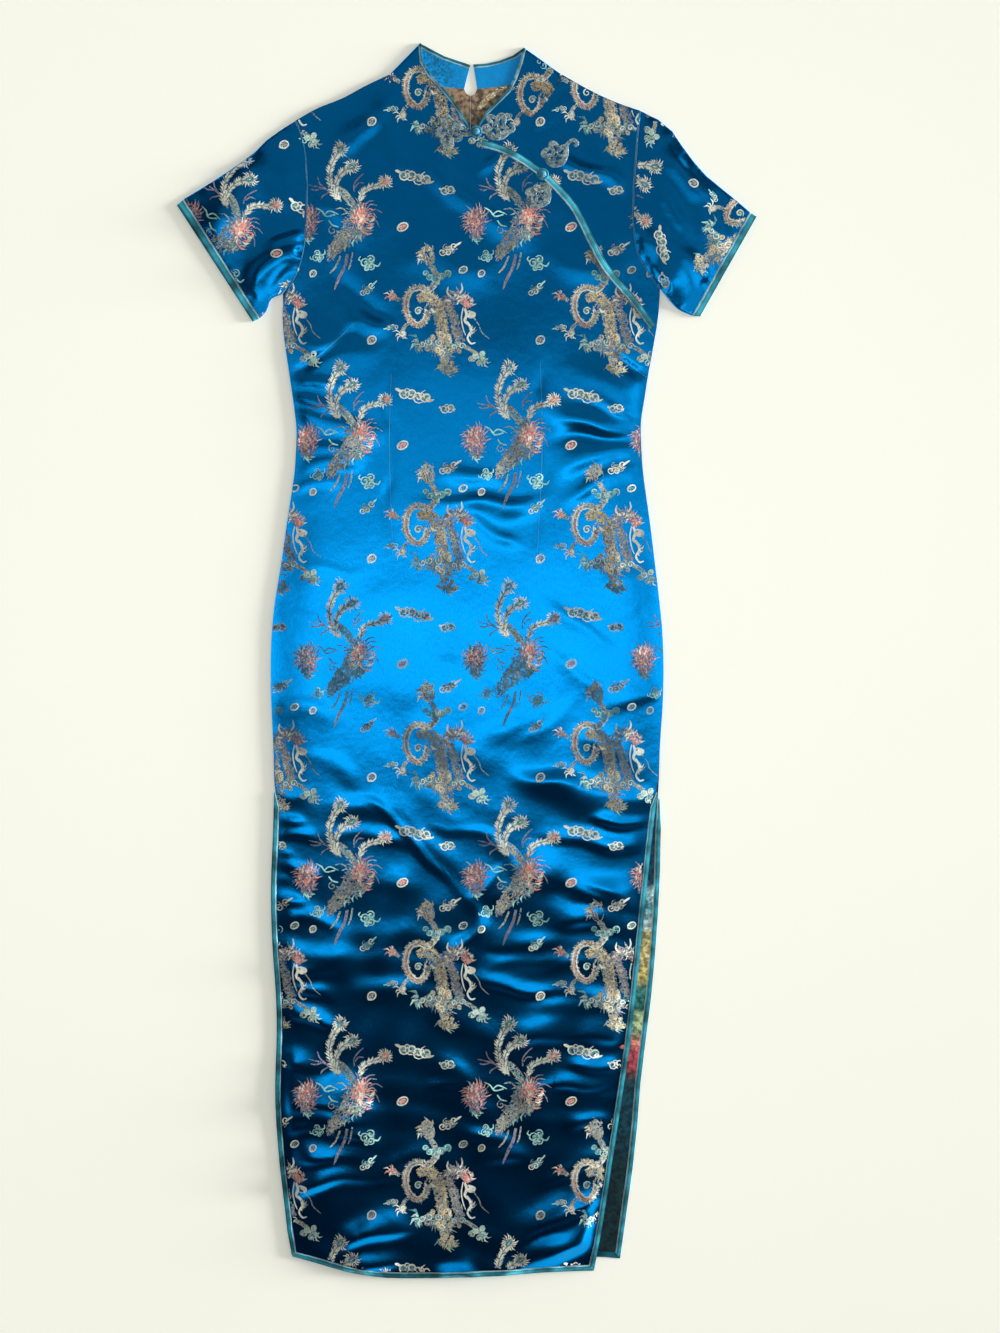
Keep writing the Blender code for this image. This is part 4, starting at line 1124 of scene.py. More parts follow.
class Figures:
    """The woven figures: each is drawn once, then stamped over the panels."""

    def __init__(self, yarns: list[Material]) -> None:
        """Draw every figure.

        Args:
            yarns: The yarn materials, in the order of Yarn.
        """
        self.yarns = yarns
        self.repeat = Repeat()
        drawn = {
            "phoenix": Phoenix(), "dragon": Dragon(), "peony_coral": Peony(),
            "peony_plum": Peony(petal=PLUM, heart=CORAL), "wisp_mint": Wisp(), "chain": Chain(),
            "link": Chain(links=2, radius=5.2), "lozenge": Lozenge(), "lozenge_teal": Lozenge(TEAL, MINT),
            "ring_coral": Ringlet(), "ring_cream": Ringlet(middle=TAUPE, size=(5.0, 4.2)),
            "ring_teal": Ringlet(middle=TEAL, size=(5.4, 3.8)),
        }
        self.meshes = {}
        for seed, (name, figure) in enumerate(drawn.items()):
            loom = Loom(seed)
            figure.draw(loom)
            self.meshes[name] = loom.finish(f"figure_{name}")

    def places(self, low: Vector, high: Vector, shift: Point, turn: float) -> list[tuple[str, Matrix]]:
        """Return each figure that may touch a box, with its place.

        Args:
            low: Lowest corner of the box.
            high: Highest corner of the box.
            shift: How far the weave is moved under this panel, in millimetres.
            turn: How far the weave is turned, about the box's middle.

        Returns:
            Pairs of a figure's name and the matrix that places it.
        """
        found = []
        reach, rows = self.repeat.reach * MM, range(-self.repeat.rows, self.repeat.rows + 1)
        middle = (low + high) / 2
        around = Matrix.Translation(middle) @ Matrix.Rotation(turn, 4, "Z") @ Matrix.Translation(-middle)
        for row in rows:
            for column in rows:
                for spot in self.repeat.settings:
                    x = (self.repeat.start[0] + shift[0] + column * self.repeat.across + spot.x) * MM
                    y = (self.repeat.start[1] + shift[1] + row * self.repeat.down + spot.y) * MM
                    place = around @ Matrix.Translation((x, y, 0.0))
                    at = place.translation
                    if low.x - reach < at.x < high.x + reach and low.y - reach < at.y < high.y + reach:
                        shape = Matrix.Rotation(spot.angle, 4, "Z") @ Matrix.Scale(spot.scale, 4)
                        found.append((spot.figure, place @ shape))
        return found

    def weave(self, name: str, tree: BVHTree, low: Vector, high: Vector, shift: Point = (0.0, 0.0),
              turn: float = 0.0, wall: float = 0.0) -> Piece:
        """Stamp the repeat over a panel.

        Args:
            name: The new piece's name.
            tree: The panel's surface.
            low: Lowest corner of the panel.
            high: Highest corner of the panel.
            shift: How far the weave is moved under this panel, in millimetres.
            turn: How far the weave is turned.
            wall: The panel's wall, to stamp the repeat on its underside, as it is seen from there.

        Returns:
            The figures as one piece that lies on the panel.
        """
        bm = bmesh.new()
        hand = -1.0 if wall else 1.0
        if wall:
            low, high = Vector((-high.x, low.y, low.z)), Vector((-low.x, high.y, high.z))
        for figure, place in self.places(low, high, shift, turn):
            before = len(bm.verts)
            bm.from_mesh(self.meshes[figure])
            bm.verts.ensure_lookup_table()
            for vert in bm.verts[before:]:
                at = place @ plan(vert.co.x, vert.co.y)
                vert.co = (hand * at.x, at.y, vert.co.z)
        lay_on(bm, tree, wall)
        return add_piece(name, bm, self.yarns)


def lay_on(bm: Mesh, tree: BVHTree, wall: float = 0.0) -> None:
    """Lay flat ribbons on a surface, and drop what lies past its outline.

    Args:
        bm: Ribbons in plan, whose heights are the numbers of their layers.
        tree: The surface.
        wall: The wall under the surface, to lay them on its underside.
    """
    missed = []
    for vert in bm.verts:
        hit = tree.ray_cast(Vector((vert.co.x, vert.co.y, PROBE)), Vector((0.0, 0.0, -1.0)))[0]
        lift = YARN_LIFT + vert.co.z * YARN_STEP
        if hit is None:
            missed.append(vert)
        else:
            vert.co.z = hit.z - wall - UNDER_SHARE * lift if wall else hit.z + lift
    bmesh.ops.delete(bm, geom=missed, context="VERTS")


def put(name: str, data: bpy.types.ID) -> Piece:
    """Put an object that shows a mesh, a light or a camera in the scene."""
    thing = bpy.data.objects.new(name, data)
    bpy.context.scene.collection.objects.link(thing)
    return thing


def add_piece(name: str, bm: Mesh, materials: list[Material], node: str = "") -> Piece:
    """Make an object of a bmesh, let it ride with the dress, and report it.

    Args:
        name: The piece's name.
        bm: Its mesh, in place, which is freed.
        materials: Its materials, in slot order.
        node: The CAD node that it stands for, if it does.

    Returns:
        The new piece.
    """
    for edge in bm.edges:
        edge.smooth = not edge.is_boundary and edge.calc_face_angle(0.0) < SHARP
    mesh = bpy.data.meshes.new(name)
    bm.to_mesh(mesh)
    bm.free()
    mesh.shade_smooth()
    piece = put(name, mesh)
    for material in materials:
        mesh.materials.append(material)
    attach(piece, "root")
    if node:
        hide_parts(node)
    LOG.info("%s: %d faces", name, len(mesh.polygons))
    return piece


# ---- relief


@dataclass(frozen=True)
class Crease:
    """A ridge or trough: its two ends, its height, its half width, its bow and its lean."""

    x0: float
    y0: float
    x1: float
    y1: float
    height: float
    spread: float
    bow: float = 0.0
    lean: float = 0.0

    def heights(self, x: np.ndarray, y: np.ndarray) -> np.ndarray:
        """Return the crease's height over some points, all in millimetres.

        A lean of 0.5 makes the side to the left of its run steep and the other side slow.

        Args:
            x: The points' places across.
            y: The points' places along.

        Returns:
            The heights.
        """
        run = np.array((self.x1 - self.x0, self.y1 - self.y0))
        length = math.hypot(*run)
        ahead = run / length
        step = ((x - self.x0) * ahead[0] + (y - self.y0) * ahead[1]) / length
        off = (y - self.y0) * ahead[0] - (x - self.x0) * ahead[1]
        off = off - self.bow * 4.0 * step * (1.0 - step)
        width = self.spread * np.where(off > 0.0, 1.0 - self.lean, 1.0 + self.lean)
        fade = soft_step(-0.2, 0.3, step) * soft_step(1.2, 0.7, step)
        return self.height * fade * np.exp(-((off / width) ** 2))


def creases(*rows: tuple[float, ...]) -> tuple[Crease, ...]:
    """Return a crease for each row: x0, y0, x1, y1, height, spread, and bow and lean where it has them."""
    return tuple(Crease(*row) for row in rows)


FRONT_CREASES = creases(
    # shoulders, neck and chest
    (-92, 639, -156, 582, 2, 15, 6, 0.2), (-52, 582, 60, 488, 3.2, 15, -8, 0.2),
    (107, 570, 176, 552, 1.6, 9), (-100, 610, -60, 560, 1.4, 10), (60, 600, 120, 640, 1.2, 10),
    (-160, 540, -120, 480, 1.5, 14), (20, 560, 60, 585, 1.2, 8), (150, 600, 180, 540, 1.4, 11),
    (-150, 440, -90, 392, -1.2, 12), (90, 470, 170, 430, 1.4, 14), (-60, 470, 30, 430, 1.2, 18),
    # bust darts and the hollows round them
    (-202, 330, -128, 380, -1.8, 5, 0, 0.3), (205, 326, 152, 360, -1.8, 5, 0, -0.3),
    (-190, 372, -110, 345, 2.4, 16), (205, 300, 120, 335, 2.4, 16), (-128, 392, -96, 380, 1.6, 11),
    # waist
    (198, 263, 89, 283, 3, 14, 5, 0.3), (198, 240, 107, 219, 2.4, 12, -4, 0.2),
    (196, 278, 120, 312, 1.8, 8, 0, 0.3), (198, 250, 95, 250, -1.4, 7), (200, 222, 120, 186, 1.8, 9),
    (-193, 278, -104, 262, 2.4, 12, 4, 0.3), (-194, 240, -120, 240, 2, 8), (-196, 216, -128, 228, 1.8, 8),
    (-196, 300, -140, 292, 1.6, 6), (-198, 196, -150, 200, 1.4, 6), (-200, 320, -150, 318, 1.3, 5),
    (-42, 180, 86, 187, 2.6, 10, -5, 0.5), (4, 160, 62, 138, 1.5, 7, 0, 0.3), (-30, 210, 40, 204, 1.2, 8),
    (-88, 320, -88, 150, -1, 5), (84, 330, 84, 140, -1, 5),
    # hips
    (-180, 110, -126, 101, 0.5, 6), (-45, 32, -8, 2, 0.5, 6), (-52, 14, -14, -2, 0.4, 6),
    (97, 60, 165, 18, 0.7, 9, 5, 0.4), (103, 4, 152, -36, 0.9, 9, -6, 0.4), (40, -62, 110, -52, 0.6, 8),
    (64, -92, 120, -44, 1, 11, -4, 0.4), (10, -92, 98, -64, 0.8, 12, 4, 0.4), (-60, -70, 0, -96, 0.5, 12),
    (215, -34, 150, -60, 0.9, 12, 0, 0.4), (-222, -45, -150, -72, 0.8, 12, 4, 0.3),
    (205, 70, 150, 46, 0.5, 10), (-215, 60, -160, 40, 0.5, 10), (20, -20, 60, -50, 0.4, 9),
    (-176, -110, -122, -128, 0.9, 10, 4, 0.3), (56, -126, 108, -150, 1.4, 11),
    (-40, -100, 60, -118, 0.8, 14), (130, -88, 205, -116, 1.2, 12), (-150, -20, -60, -40, 0.5, 16),
    (-120, 60, -40, 76, 0.4, 18), (160, 90, 210, 106, 0.6, 9),
    # the short folds at the left slit
    (-222, -158, -180, -152, 1.2, 7), (-222, -180, -192, -184, 1.2, 6),
    (-222, -204, -176, -198, 1.3, 6, 2, -0.3), (-222, -222, -196, -224, 1.1, 4.5, 0, -0.3),
    (-222, -238, -166, -246, 1.6, 7, 3, -0.3), (-222, -256, -198, -254, 1, 4.5, 0, -0.3),
    (-222, -274, -184, -280, 1.5, 6, 0, -0.3), (-221, -296, -156, -304, 2.6, 10, 3, -0.4),
    # the folds that meet below the hips
    (-113, -162, -4, -270, 1.7, 5.5, 4, -0.3), (-104, -150, 10, -262, 1.3, 12, 4, -0.3),
    (8, -270, 44, -232, 1.5, 5, 0, 0.3), (-20, -276, 96, -250, 1.3, 20, 0, -0.3),
    (20, -196, 70, -250, 1.2, 5, 3, 0.3), (-40, -186, 26, -196, 1, 5),
    (-150, -196, -60, -216, 1.4, 7, 4, -0.3), (20, -300, -40, -360, 1.4, 7, 3, 0.3),
    (-160, -160, -90, -176, 1.6, 14), (-70, -150, -10, -190, 1.2, 12),
    (-150, -232, -60, -262, 1, 13, 0, -0.3),
    # right, from the slit down
    (66, -134, 200, -158, 3.6, 17, -3, 0.3), (146, -178, 206, -187, 2.2, 6, 0, -0.4),
    (86, -200, 206, -212, 2.6, 10, 0, -0.4), (76, -240, 204, -284, 4.9, 20, -5, -0.5),
    (98, -294, 198, -314, 3.8, 13, 3, -0.4), (130, -262, 196, -292, -1.6, 6),
    (10, -326, 96, -316, 1.6, 8, -3, -0.4), (34, -346, 108, -336, 1.3, 9, 3, -0.4),
    (6, -360, 132, -380, 2.6, 11, -3, -0.5), (90, -346, 194, -352, 1.6, 12, 4, -0.4),
    (84, -398, 188, -388, 1.8, 12, 0, -0.3), (46, -440, 190, -424, 5.7, 18, 5, -0.5),
    (118, -462, 188, -456, 2.2, 8, -3, -0.5), (84, -488, 182, -474, 3.4, 12, -4, -0.5),
    (146, -500, 180, -496, 1.4, 5, 0, -0.4), (40, -506, 96, -498, 1.8, 10, 0, -0.4),
    (112, -534, 174, -528, 2, 7, 3, -0.4), (144, -556, 172, -554, 1.2, 5, 0, -0.4),
    (6, -708, 190, -632, 9.6, 19, -5, -0.5), (40, -664, 196, -592, 8.2, 16, -4, -0.5),
    (90, -590, 190, -562, 3.8, 10, 0, -0.4),
    # left, from the slit down
    (-218, -356, -132, -358, 5.6, 20, 4, -0.5), (-214, -372, -150, -384, 2.2, 7, 0, -0.3),
    (-210, -404, -150, -412, 2.5, 9, 0, -0.4), (-224, -466, -160, -458, 2.6, 10, 3, -0.5),
    (-236, -516, -112, -508, 9.2, 25, 4, -0.5), (-210, -538, -112, -544, 5.7, 15, 5, -0.5),
    (-206, -572, -116, -566, 4.3, 13, 0, -0.5), (-204, -612, -88, -584, 6.8, 16, 6, -0.5),
    (-150, -664, -56, -650, 6.9, 19, 6, -0.5), (-140, -694, -70, -690, 5.2, 12, 2, -0.5),
    (-40, -700, 6, -698, 4.1, 9, 3, -0.5),
    # middle
    (6, -262, 10, -345, 2.4, 11, 4, 0.4), (-60, -290, -110, -340, 1.6, 16),
    (-120, -376, -50, -372, 1.4, 14, 0, -0.3), (-40, -404, 30, -426, 1.6, 14, 0, -0.3),
    (-30, -448, 36, -520, 1.8, 14, 6, 0.4), (-40, -486, 0, -482, 1.2, 6, 0, -0.3),
    (0, -578, 64, -562, 2.5, 13, 4, -0.4), (-4, -548, 50, -540, 1.8, 9, 0, -0.3),
    (-96, -574, -40, -560, 2, 10, 0, -0.3))
LEFT_SLEEVE_CREASES = creases(
    (-240, 568, -296, 488, 4.8, 23, 6), (-244, 424, -186, 466, 4.6, 14, 11),
    (-230, 474, -188, 486, 1.8, 5.5, 0, 0.2), (-222, 424, -204, 450, 1, 4, 2),
    (-205, 560, -214, 510, 0.8, 14))
RIGHT_SLEEVE_CREASES = creases(
    (230, 576, 272, 520, 2.2, 13), (222, 541, 250, 484, 2.4, 9), (206, 486, 234, 408, 6.4, 18, 4, -0.3),
    (236, 474, 280, 424, 2.2, 10, 3), (262, 510, 290, 462, 1, 9, 3), (205, 600, 222, 550, 0.9, 10))
BACK_CREASES = creases(
    (170, -250, 212, -262, 1.2, 9), (168, -340, 206, -352, 1.2, 8), (160, -430, 200, -442, 1.4, 9),
    (158, -520, 192, -514, 1, 8), (150, -600, 184, -616, 1.2, 9), (-120, 300, 40, 260, 1, 20))


@dataclass(frozen=True)
class Ripple:
    """A wave along one direction that drifts with the place across it, in millimetres and radians."""

    along: float  # how far a radian of the wave takes
    across: float  # how far a radian of its drift takes
    drift: float
    start: float = 0.0

    def at(self, where: np.ndarray, beside: np.ndarray) -> np.ndarray:
        """Return the wave, from -1 to 1."""
        return np.sin(where / self.along + self.drift * np.sin(beside / self.across + self.start))


def slanting(x: np.ndarray, y: np.ndarray, across: float, along: float) -> np.ndarray:
    """Return a slanting wave, from -1 to 1, given how far a radian of it takes each way."""
    return np.sin(x / across + y / along)


@dataclass
class Relief:
    """Heights of a laid panel over its flat form: its creases, bent a little, soft waves, and its puff."""

    creases: tuple[Crease, ...]
    puff: float = 0.0  # how far the panel stands over its edges
    edge: float = 75.0  # how far in from its edges it has the whole puff
    sway: float = 0.35  # height of the soft waves
    wander: float = 1.0  # how much the creases stray from their lines
    bends: tuple[Ripple, Ripple] = (Ripple(21, 33, 0.8), Ripple(26, 41, 1.7))
    strength: Ripple = Ripple(19, 29, 2.0)
    waves: tuple[Ripple, Ripple] = (Ripple(31, 47, 1.3), Ripple(39, 53, 0.7, 1.0))
    crumples: tuple[Ripple, Ripple] = (Ripple(15, 27, 1.6), Ripple(12, 35, 1.4))
    crumple: float = 0.62  # height of the fine crumples of the skirt
    skirt: Point = (-110.0, -330.0)  # where the fine crumples start and are whole
    chest: Point = (440.0, 310.0)  # where the puff starts and is whole
    underarm: float = 330.0  # below this the creases fade to the edges
    edge_share: float = 0.2
    edge_fade: float = 16.0
    rows: range = range(-700, 440, 20)
    outline: np.ndarray = field(default_factory=lambda: np.zeros((3, 0)))

    def measure(self, skin: Mesh) -> None:
        """Take the left and right outline of a panel, which the puff fades to.

        Args:
            skin: The panel's surface.
        """
        rim = [vert.co / MM for vert in skin.verts if vert.is_boundary]
        found = []
        for y in self.rows:
            near = [point.x for point in rim if abs(point.y - y) < self.rows.step]
            if near:
                found.append((y, min(near), max(near)))
        self.outline = np.array(found).T

    def heights(self, x: np.ndarray, y: np.ndarray) -> np.ndarray:
        """Return the height over each point.

        Args:
            x: The points' places across, in metres.
            y: The points' places along, in metres.

        Returns:
            The heights, in metres.
        """
        x, y = np.asarray(x) / MM, np.asarray(y) / MM
        bent_x = x + self.wander * (5.0 * self.bends[0].at(y, x) + 2.0 * slanting(x, y, 15, 9.0))
        bent_y = y + self.wander * (4.0 * self.bends[1].at(x, y) + 1.8 * slanting(x, y, 10.5, -19))
        total = sum(crease.heights(bent_x, bent_y) for crease in self.creases)
        total = total * (0.85 + 0.3 * self.strength.at(x, y))
        wave = self.waves[0].at(x, y) * self.waves[1].at(y, x)
        wave = wave + 0.5 * slanting(x, y, 17, 23) * slanting(x, y, -29, 61)
        total = total + self.sway * wave
        if self.puff:
            fine = self.crumples[0].at(x + 0.9 * y, y) * self.crumples[1].at(y - 0.35 * x, x)
            total = total + self.crumple * fine * soft_step(*self.skirt, y)
            rows, left, right = self.outline
            inward = np.minimum(x - np.interp(y, rows, left), np.interp(y, rows, right) - x)
            fade = self.edge_share + (1.0 - self.edge_share) * soft_step(0.0, self.edge_fade, inward)
            total = total * np.where(y < self.underarm, fade, 1.0)
            total = total + self.puff * soft_step(0.0, self.edge, inward) * soft_step(*self.chest, y)
        return total * MM


# ---- cloth


class Side(Enum):
    """The two sides of the dress, as it lies."""

    LEFT = "left"
    RIGHT = "right"


def node_mesh(name: str) -> Mesh:
    """Return a merged copy of a CAD node's mesh."""
    bm = bmesh.new()
    bm.from_mesh(NODES[name].data)
    bmesh.ops.remove_doubles(bm, verts=bm.verts, dist=MERGE)
    return bm


def top_skin(name: str, steep: float = 0.5) -> Mesh:
    """Return the upper faces of a CAD node as an open surface.

    Args:
        name: The node.
        steep: Faces whose normals rise less than this are left out.

    Returns:
        The surface.
    """
    bm = node_mesh(name)
    bm.normal_update()
    under = [face for face in bm.faces if face.normal.z < steep]
    bmesh.ops.delete(bm, geom=under, context="FACES")
    return bm


def refine(bm: Mesh, longest: float, flat: float = 0.15, rounds: int = 12) -> None:
    """Divide a mesh into small, even triangles.

    Args:
        bm: The mesh.
        longest: No edge stays longer than this.
        flat: Edges that turn by less than this many radians may be swapped.
        rounds: The most times that the long edges are halved.
    """
    for _ in range(rounds):
        bmesh.ops.triangulate(bm, faces=bm.faces, quad_method="BEAUTY", ngon_method="BEAUTY")
        level = [edge for edge in bm.edges if len(edge.link_faces) == 2 and edge.calc_face_angle(1.0) < flat]
        bmesh.ops.beautify_fill(bm, faces=bm.faces, edges=level)
        long = [edge for edge in bm.edges if edge.calc_length() > longest]
        if not long:
            break
        bmesh.ops.subdivide_edges(bm, edges=long, cuts=1)


def along_rim(vert: Vert) -> list[Vert]:
    """Return the points next to a point along a surface's outline."""
    return [edge.other_vert(vert) for edge in vert.link_edges if edge.is_boundary]


def sharp_corners(bm: Mesh, angle: float = 0.62) -> list[Vector]:
    """Return the points where a surface's outline turns by more than an angle in radians."""
    pairs = [(vert, along_rim(vert)) for vert in bm.verts]
    return [vert.co.copy() for vert, pair in pairs
            if len(pair) == 2 and (vert.co - pair[0].co).angle(pair[1].co - vert.co, 0.0) > angle]


def round_outline(bm: Mesh, corners: list[Vector], times: int) -> None:
    """Round the straight stretches of a surface's outline, keeping its corners.

    Args:
        bm: An open surface, already refined.
        corners: Points that stay where they are.
        times: How many passes are made.
    """
    kept = {tuple(round(value, 5) for value in corner) for corner in corners}
    loose = [vert for vert in bm.verts if tuple(round(value, 5) for value in vert.co) not in kept]
    rim = [(vert, pair) for vert, pair in ((vert, along_rim(vert)) for vert in loose) if len(pair) == 2]
    for _ in range(times):
        moved = [(vert, vert.co * 0.5 + (pair[0].co + pair[1].co) * 0.25) for vert, pair in rim]
        for vert, place in moved:
            vert.co = place


def plan_of(bm: Mesh, verts: list[Vert] | None = None) -> tuple[np.ndarray, np.ndarray]:
    """Return the places across and along of a mesh's points, or of some of them."""
    flat = np.array([vert.co[:2] for vert in (verts or bm.verts)])
    return flat[:, 0], flat[:, 1]


def raise_skin(bm: Mesh, level: float, relief: Relief, crown: float = 0.0) -> None:
    """Set the heights of a surface: a level, a relief, and a crown between a strip's two long edges.

    Args:
        bm: The surface.
        level: Its height where it lies flat.
        relief: What it follows.
        crown: How far its middle stands over its edges, where it is marked "across".
    """
    across = bm.verts.layers.float.get("across")
    for vert, rise in zip(bm.verts, relief.heights(*plan_of(bm))):
        swell = math.sqrt(max(0.0, math.sin(math.pi * vert[across]))) if across else 0.0
        vert.co.z = level + rise + crown * swell


def mark_across(bm: Mesh, panel: Mesh, width: float) -> None:
    """Mark how far each point of a strip is from the panel that it edges.

    Args:
        bm: The strip.
        panel: The panel.
        width: The strip's width, of which the mark is a share.
    """
    tree = BVHTree.FromBMesh(panel)
    across = bm.verts.layers.float.new("across")
    for vert in bm.verts:
        near = tree.find_nearest(vert.co)[3]
        vert[across] = min(1.0, max(0.0, (near - SEAM) / width))


def thicken(piece: Piece, wall: float) -> bpy.types.Modifier:
    """Give a surface its wall, downwards.

    Args:
        piece: The surface.
        wall: How thick it becomes.

    Returns:
        The modifier that does it.
    """
    solidify = piece.modifiers.new("Wall", "SOLIDIFY")
    solidify.thickness = wall
    solidify.offset = -1.0
    solidify.use_rim = True
    return solidify


def surface_of(bm: Mesh) -> tuple[BVHTree, Vector, Vector]:
    """Return a mesh's search tree and its lowest and highest corners."""
    low = Vector([min(vert.co[axis] for vert in bm.verts) for axis in range(3)])
    high = Vector([max(vert.co[axis] for vert in bm.verts) for axis in range(3)])
    return BVHTree.FromBMesh(bm), low, high


def outline_path(bm: Mesh, start: Vector, end: Vector, inset: float) -> list[Vector]:
    """Return the shorter way along a surface's outline between two places, in plan.

    Args:
        bm: The surface.
        start: A place near the way's start.
        end: A place near its end.
        inset: How far the way is moved to the inside.

    Returns:
        Points along it at height 0.
    """
    rim = [vert for vert in bm.verts if vert.is_boundary]
    first = min(rim, key=lambda vert: (vert.co.xy - start.xy).length)
    last = min(rim, key=lambda vert: (vert.co.xy - end.xy).length)
    ways = []
    for vert in along_rim(first):
        way = [first]
        while vert is not last and vert is not first:
            way.append(vert)
            vert = next(onward for onward in along_rim(vert) if onward is not way[-2])
        ways.append(way + [vert])
    best = min(ways, key=lambda way: sum((b.co - a.co).length for a, b in zip(way, way[1:])))
    inside = []
    for vert in best:
        inner = [edge.other_vert(vert).co for edge in vert.link_edges if not edge.is_boundary]
        inward = sum(inner, Vector()) / len(inner) - vert.co if inner else Vector()
        inside.append(plan(*vert.co.xy) + plan(*inward.xy).normalized() * inset)
    return inside


@dataclass
class Workroom:
    """What the pieces share: the finishes, the woven figures and the relief of the two layers."""

    finishes: Finishes
    figures: Figures
    front: Relief
    back: Relief


Made = tuple[Piece, list[Piece]]  # a panel, and the trims that it carries


# ---- panels


@dataclass
class Front:
    """The front panel, with its woven figures and its seam and dart lines."""

    room: Workroom
    pitch: float = 6.5 * MM  # longest edge of its mesh
    rounding: int = 10  # passes that round its outline
    darts: tuple[tuple[int, tuple[Point, ...]], ...] = (  # pieces a stretch, and the points passed
        (14, ((-86, 326), (-88, 240), (-84, 120))), (14, ((84, 340), (86, 240), (80, 108))),
        (8, ((-203, 326), (-165, 350), (-128, 384))), (8, ((206, 322), (180, 340), (150, 362))))
    dart_width: float = 0.45  # in millimetres, as the figures are
    armholes: tuple[tuple[Point, Point], ...] = (((-209, 418), (-195, 615)), ((220, 424), (198, 626)))
    seam_width: float = 1.0 * MM
    seam_inset: float = 1.2 * MM
    seed: int = 91

    def build(self) -> Made:
        """Build the panel and what lies on it."""
        bm = top_skin("front")
        self.room.front.measure(bm)
        corners = sharp_corners(bm)
        refine(bm, self.pitch)
        round_outline(bm, corners, self.rounding)
        raise_skin(bm, FRONT_TOP, self.room.front)
        bm.normal_update()
        tree, low, high = surface_of(bm)
        trims = [self.room.figures.weave("front_figures", tree, low, high), self.lines(bm, tree)]
        piece = add_piece("front_cloth", bm, [self.room.finishes.satin], "front")
        thicken(piece, CLOTH)
        return piece, trims

    def lines(self, skin: Mesh, tree: BVHTree) -> Piece:
        """Lay the lines of the darts and of the armholes' seams.

        Args:
            skin: The panel's surface.
            tree: The same, to search.

        Returns:
            The lines as one piece.
        """
        loom = Loom(self.seed)
        for pieces, points in self.darts:
            loom.ribbon(bend(points, pieces), self.dart_width, LINE, 0, (0.6, 0.4))
        loom.flatten()
        for start, end in self.armholes:
            path = outline_path(skin, plan(*start) * MM, plan(*end) * MM, self.seam_inset)
            loom.ribbon(path, self.seam_width, LINE, 0, (1.0, 1.0))
        lay_on(loom.bm, tree)
        return add_piece("front_lines", loom.bm, self.room.finishes.yarns)


@dataclass
class Back:
    """Half of the back, which shows its wrong side above and its face below."""

    room: Workroom
    side: Side
    pitch: float = 9 * MM
    rounding: int = 6
    rise: float = 0.25 * MM  # of its wrong side over the solid's
    least: float = 0.2 * MM
    wall: float = CLOTH - 0.2 * MM
    tufts: tuple[tuple[float, float, float], ...] = ((27, 643, 0.6), (38, 651, 0.4), (18, 634, 0.8))
    seed: int = 17

    def build(self) -> Made:
        """Build the panel, the figures on its face, and at the right the floats that show in the neck."""
        node = f"back_{self.side.value}"
        bm = top_skin(node)
        corners = sharp_corners(bm)
        refine(bm, self.pitch)
        round_outline(bm, corners, self.rounding)
        raise_skin(bm, CLOTH + self.rise, self.room.back)
        for vert in bm.verts:
            vert.co.z = max(vert.co.z, CLOTH + self.least)
        tree, low, high = surface_of(bm)
        trims = [self.room.figures.weave(f"back_figures_{self.side.value}", tree, low, high, wall=self.wall)]
        if self.side is Side.RIGHT:
            trims.append(self.floats(tree))
        finishes = self.room.finishes
        piece = add_piece(f"back_cloth_{self.side.value}", bm, [finishes.reverse, finishes.satin], node)
        thicken(piece, self.wall).material_offset = 1
        return piece, trims

    def floats(self, tree: BVHTree) -> Piece:
        """Lay loose tufts of pale yarn on the wrong side, below the neck.

        Args:
            tree: The panel's surface.

        Returns:
            The tufts as one piece.
        """
        loom = Loom(self.seed)
        for x, y, way in self.tufts:
            loom.disc(plan(x, y), (8.5, 3.6), way, GOLD, 0)
            loom.patch(plan(x, y), (9, 4), way, (GOLD, CREAM, GOLD, TAUPE), 2.6, 1)
        loom.flatten()
        lay_on(loom.bm, tree)
        return add_piece("back_floats", loom.bm, self.room.finishes.yarns)


def dress_edge(node: str, name: str, panel: str, width: float, pitch: float, finish: Material) -> Piece:
    """Make the binding of a closed edge from its solid.

    Args:
        node: The binding's node.
        name: The new piece's name.
        panel: The node that it binds.
        width: Its width.
        pitch: Longest edge of its mesh.
        finish: Its material.

    Returns:
        The new piece.
    """
    bm = node_mesh(node)
    refine(bm, pitch)
    mark_across(bm, node_mesh(panel), width)
    return add_piece(name, bm, [finish], node)


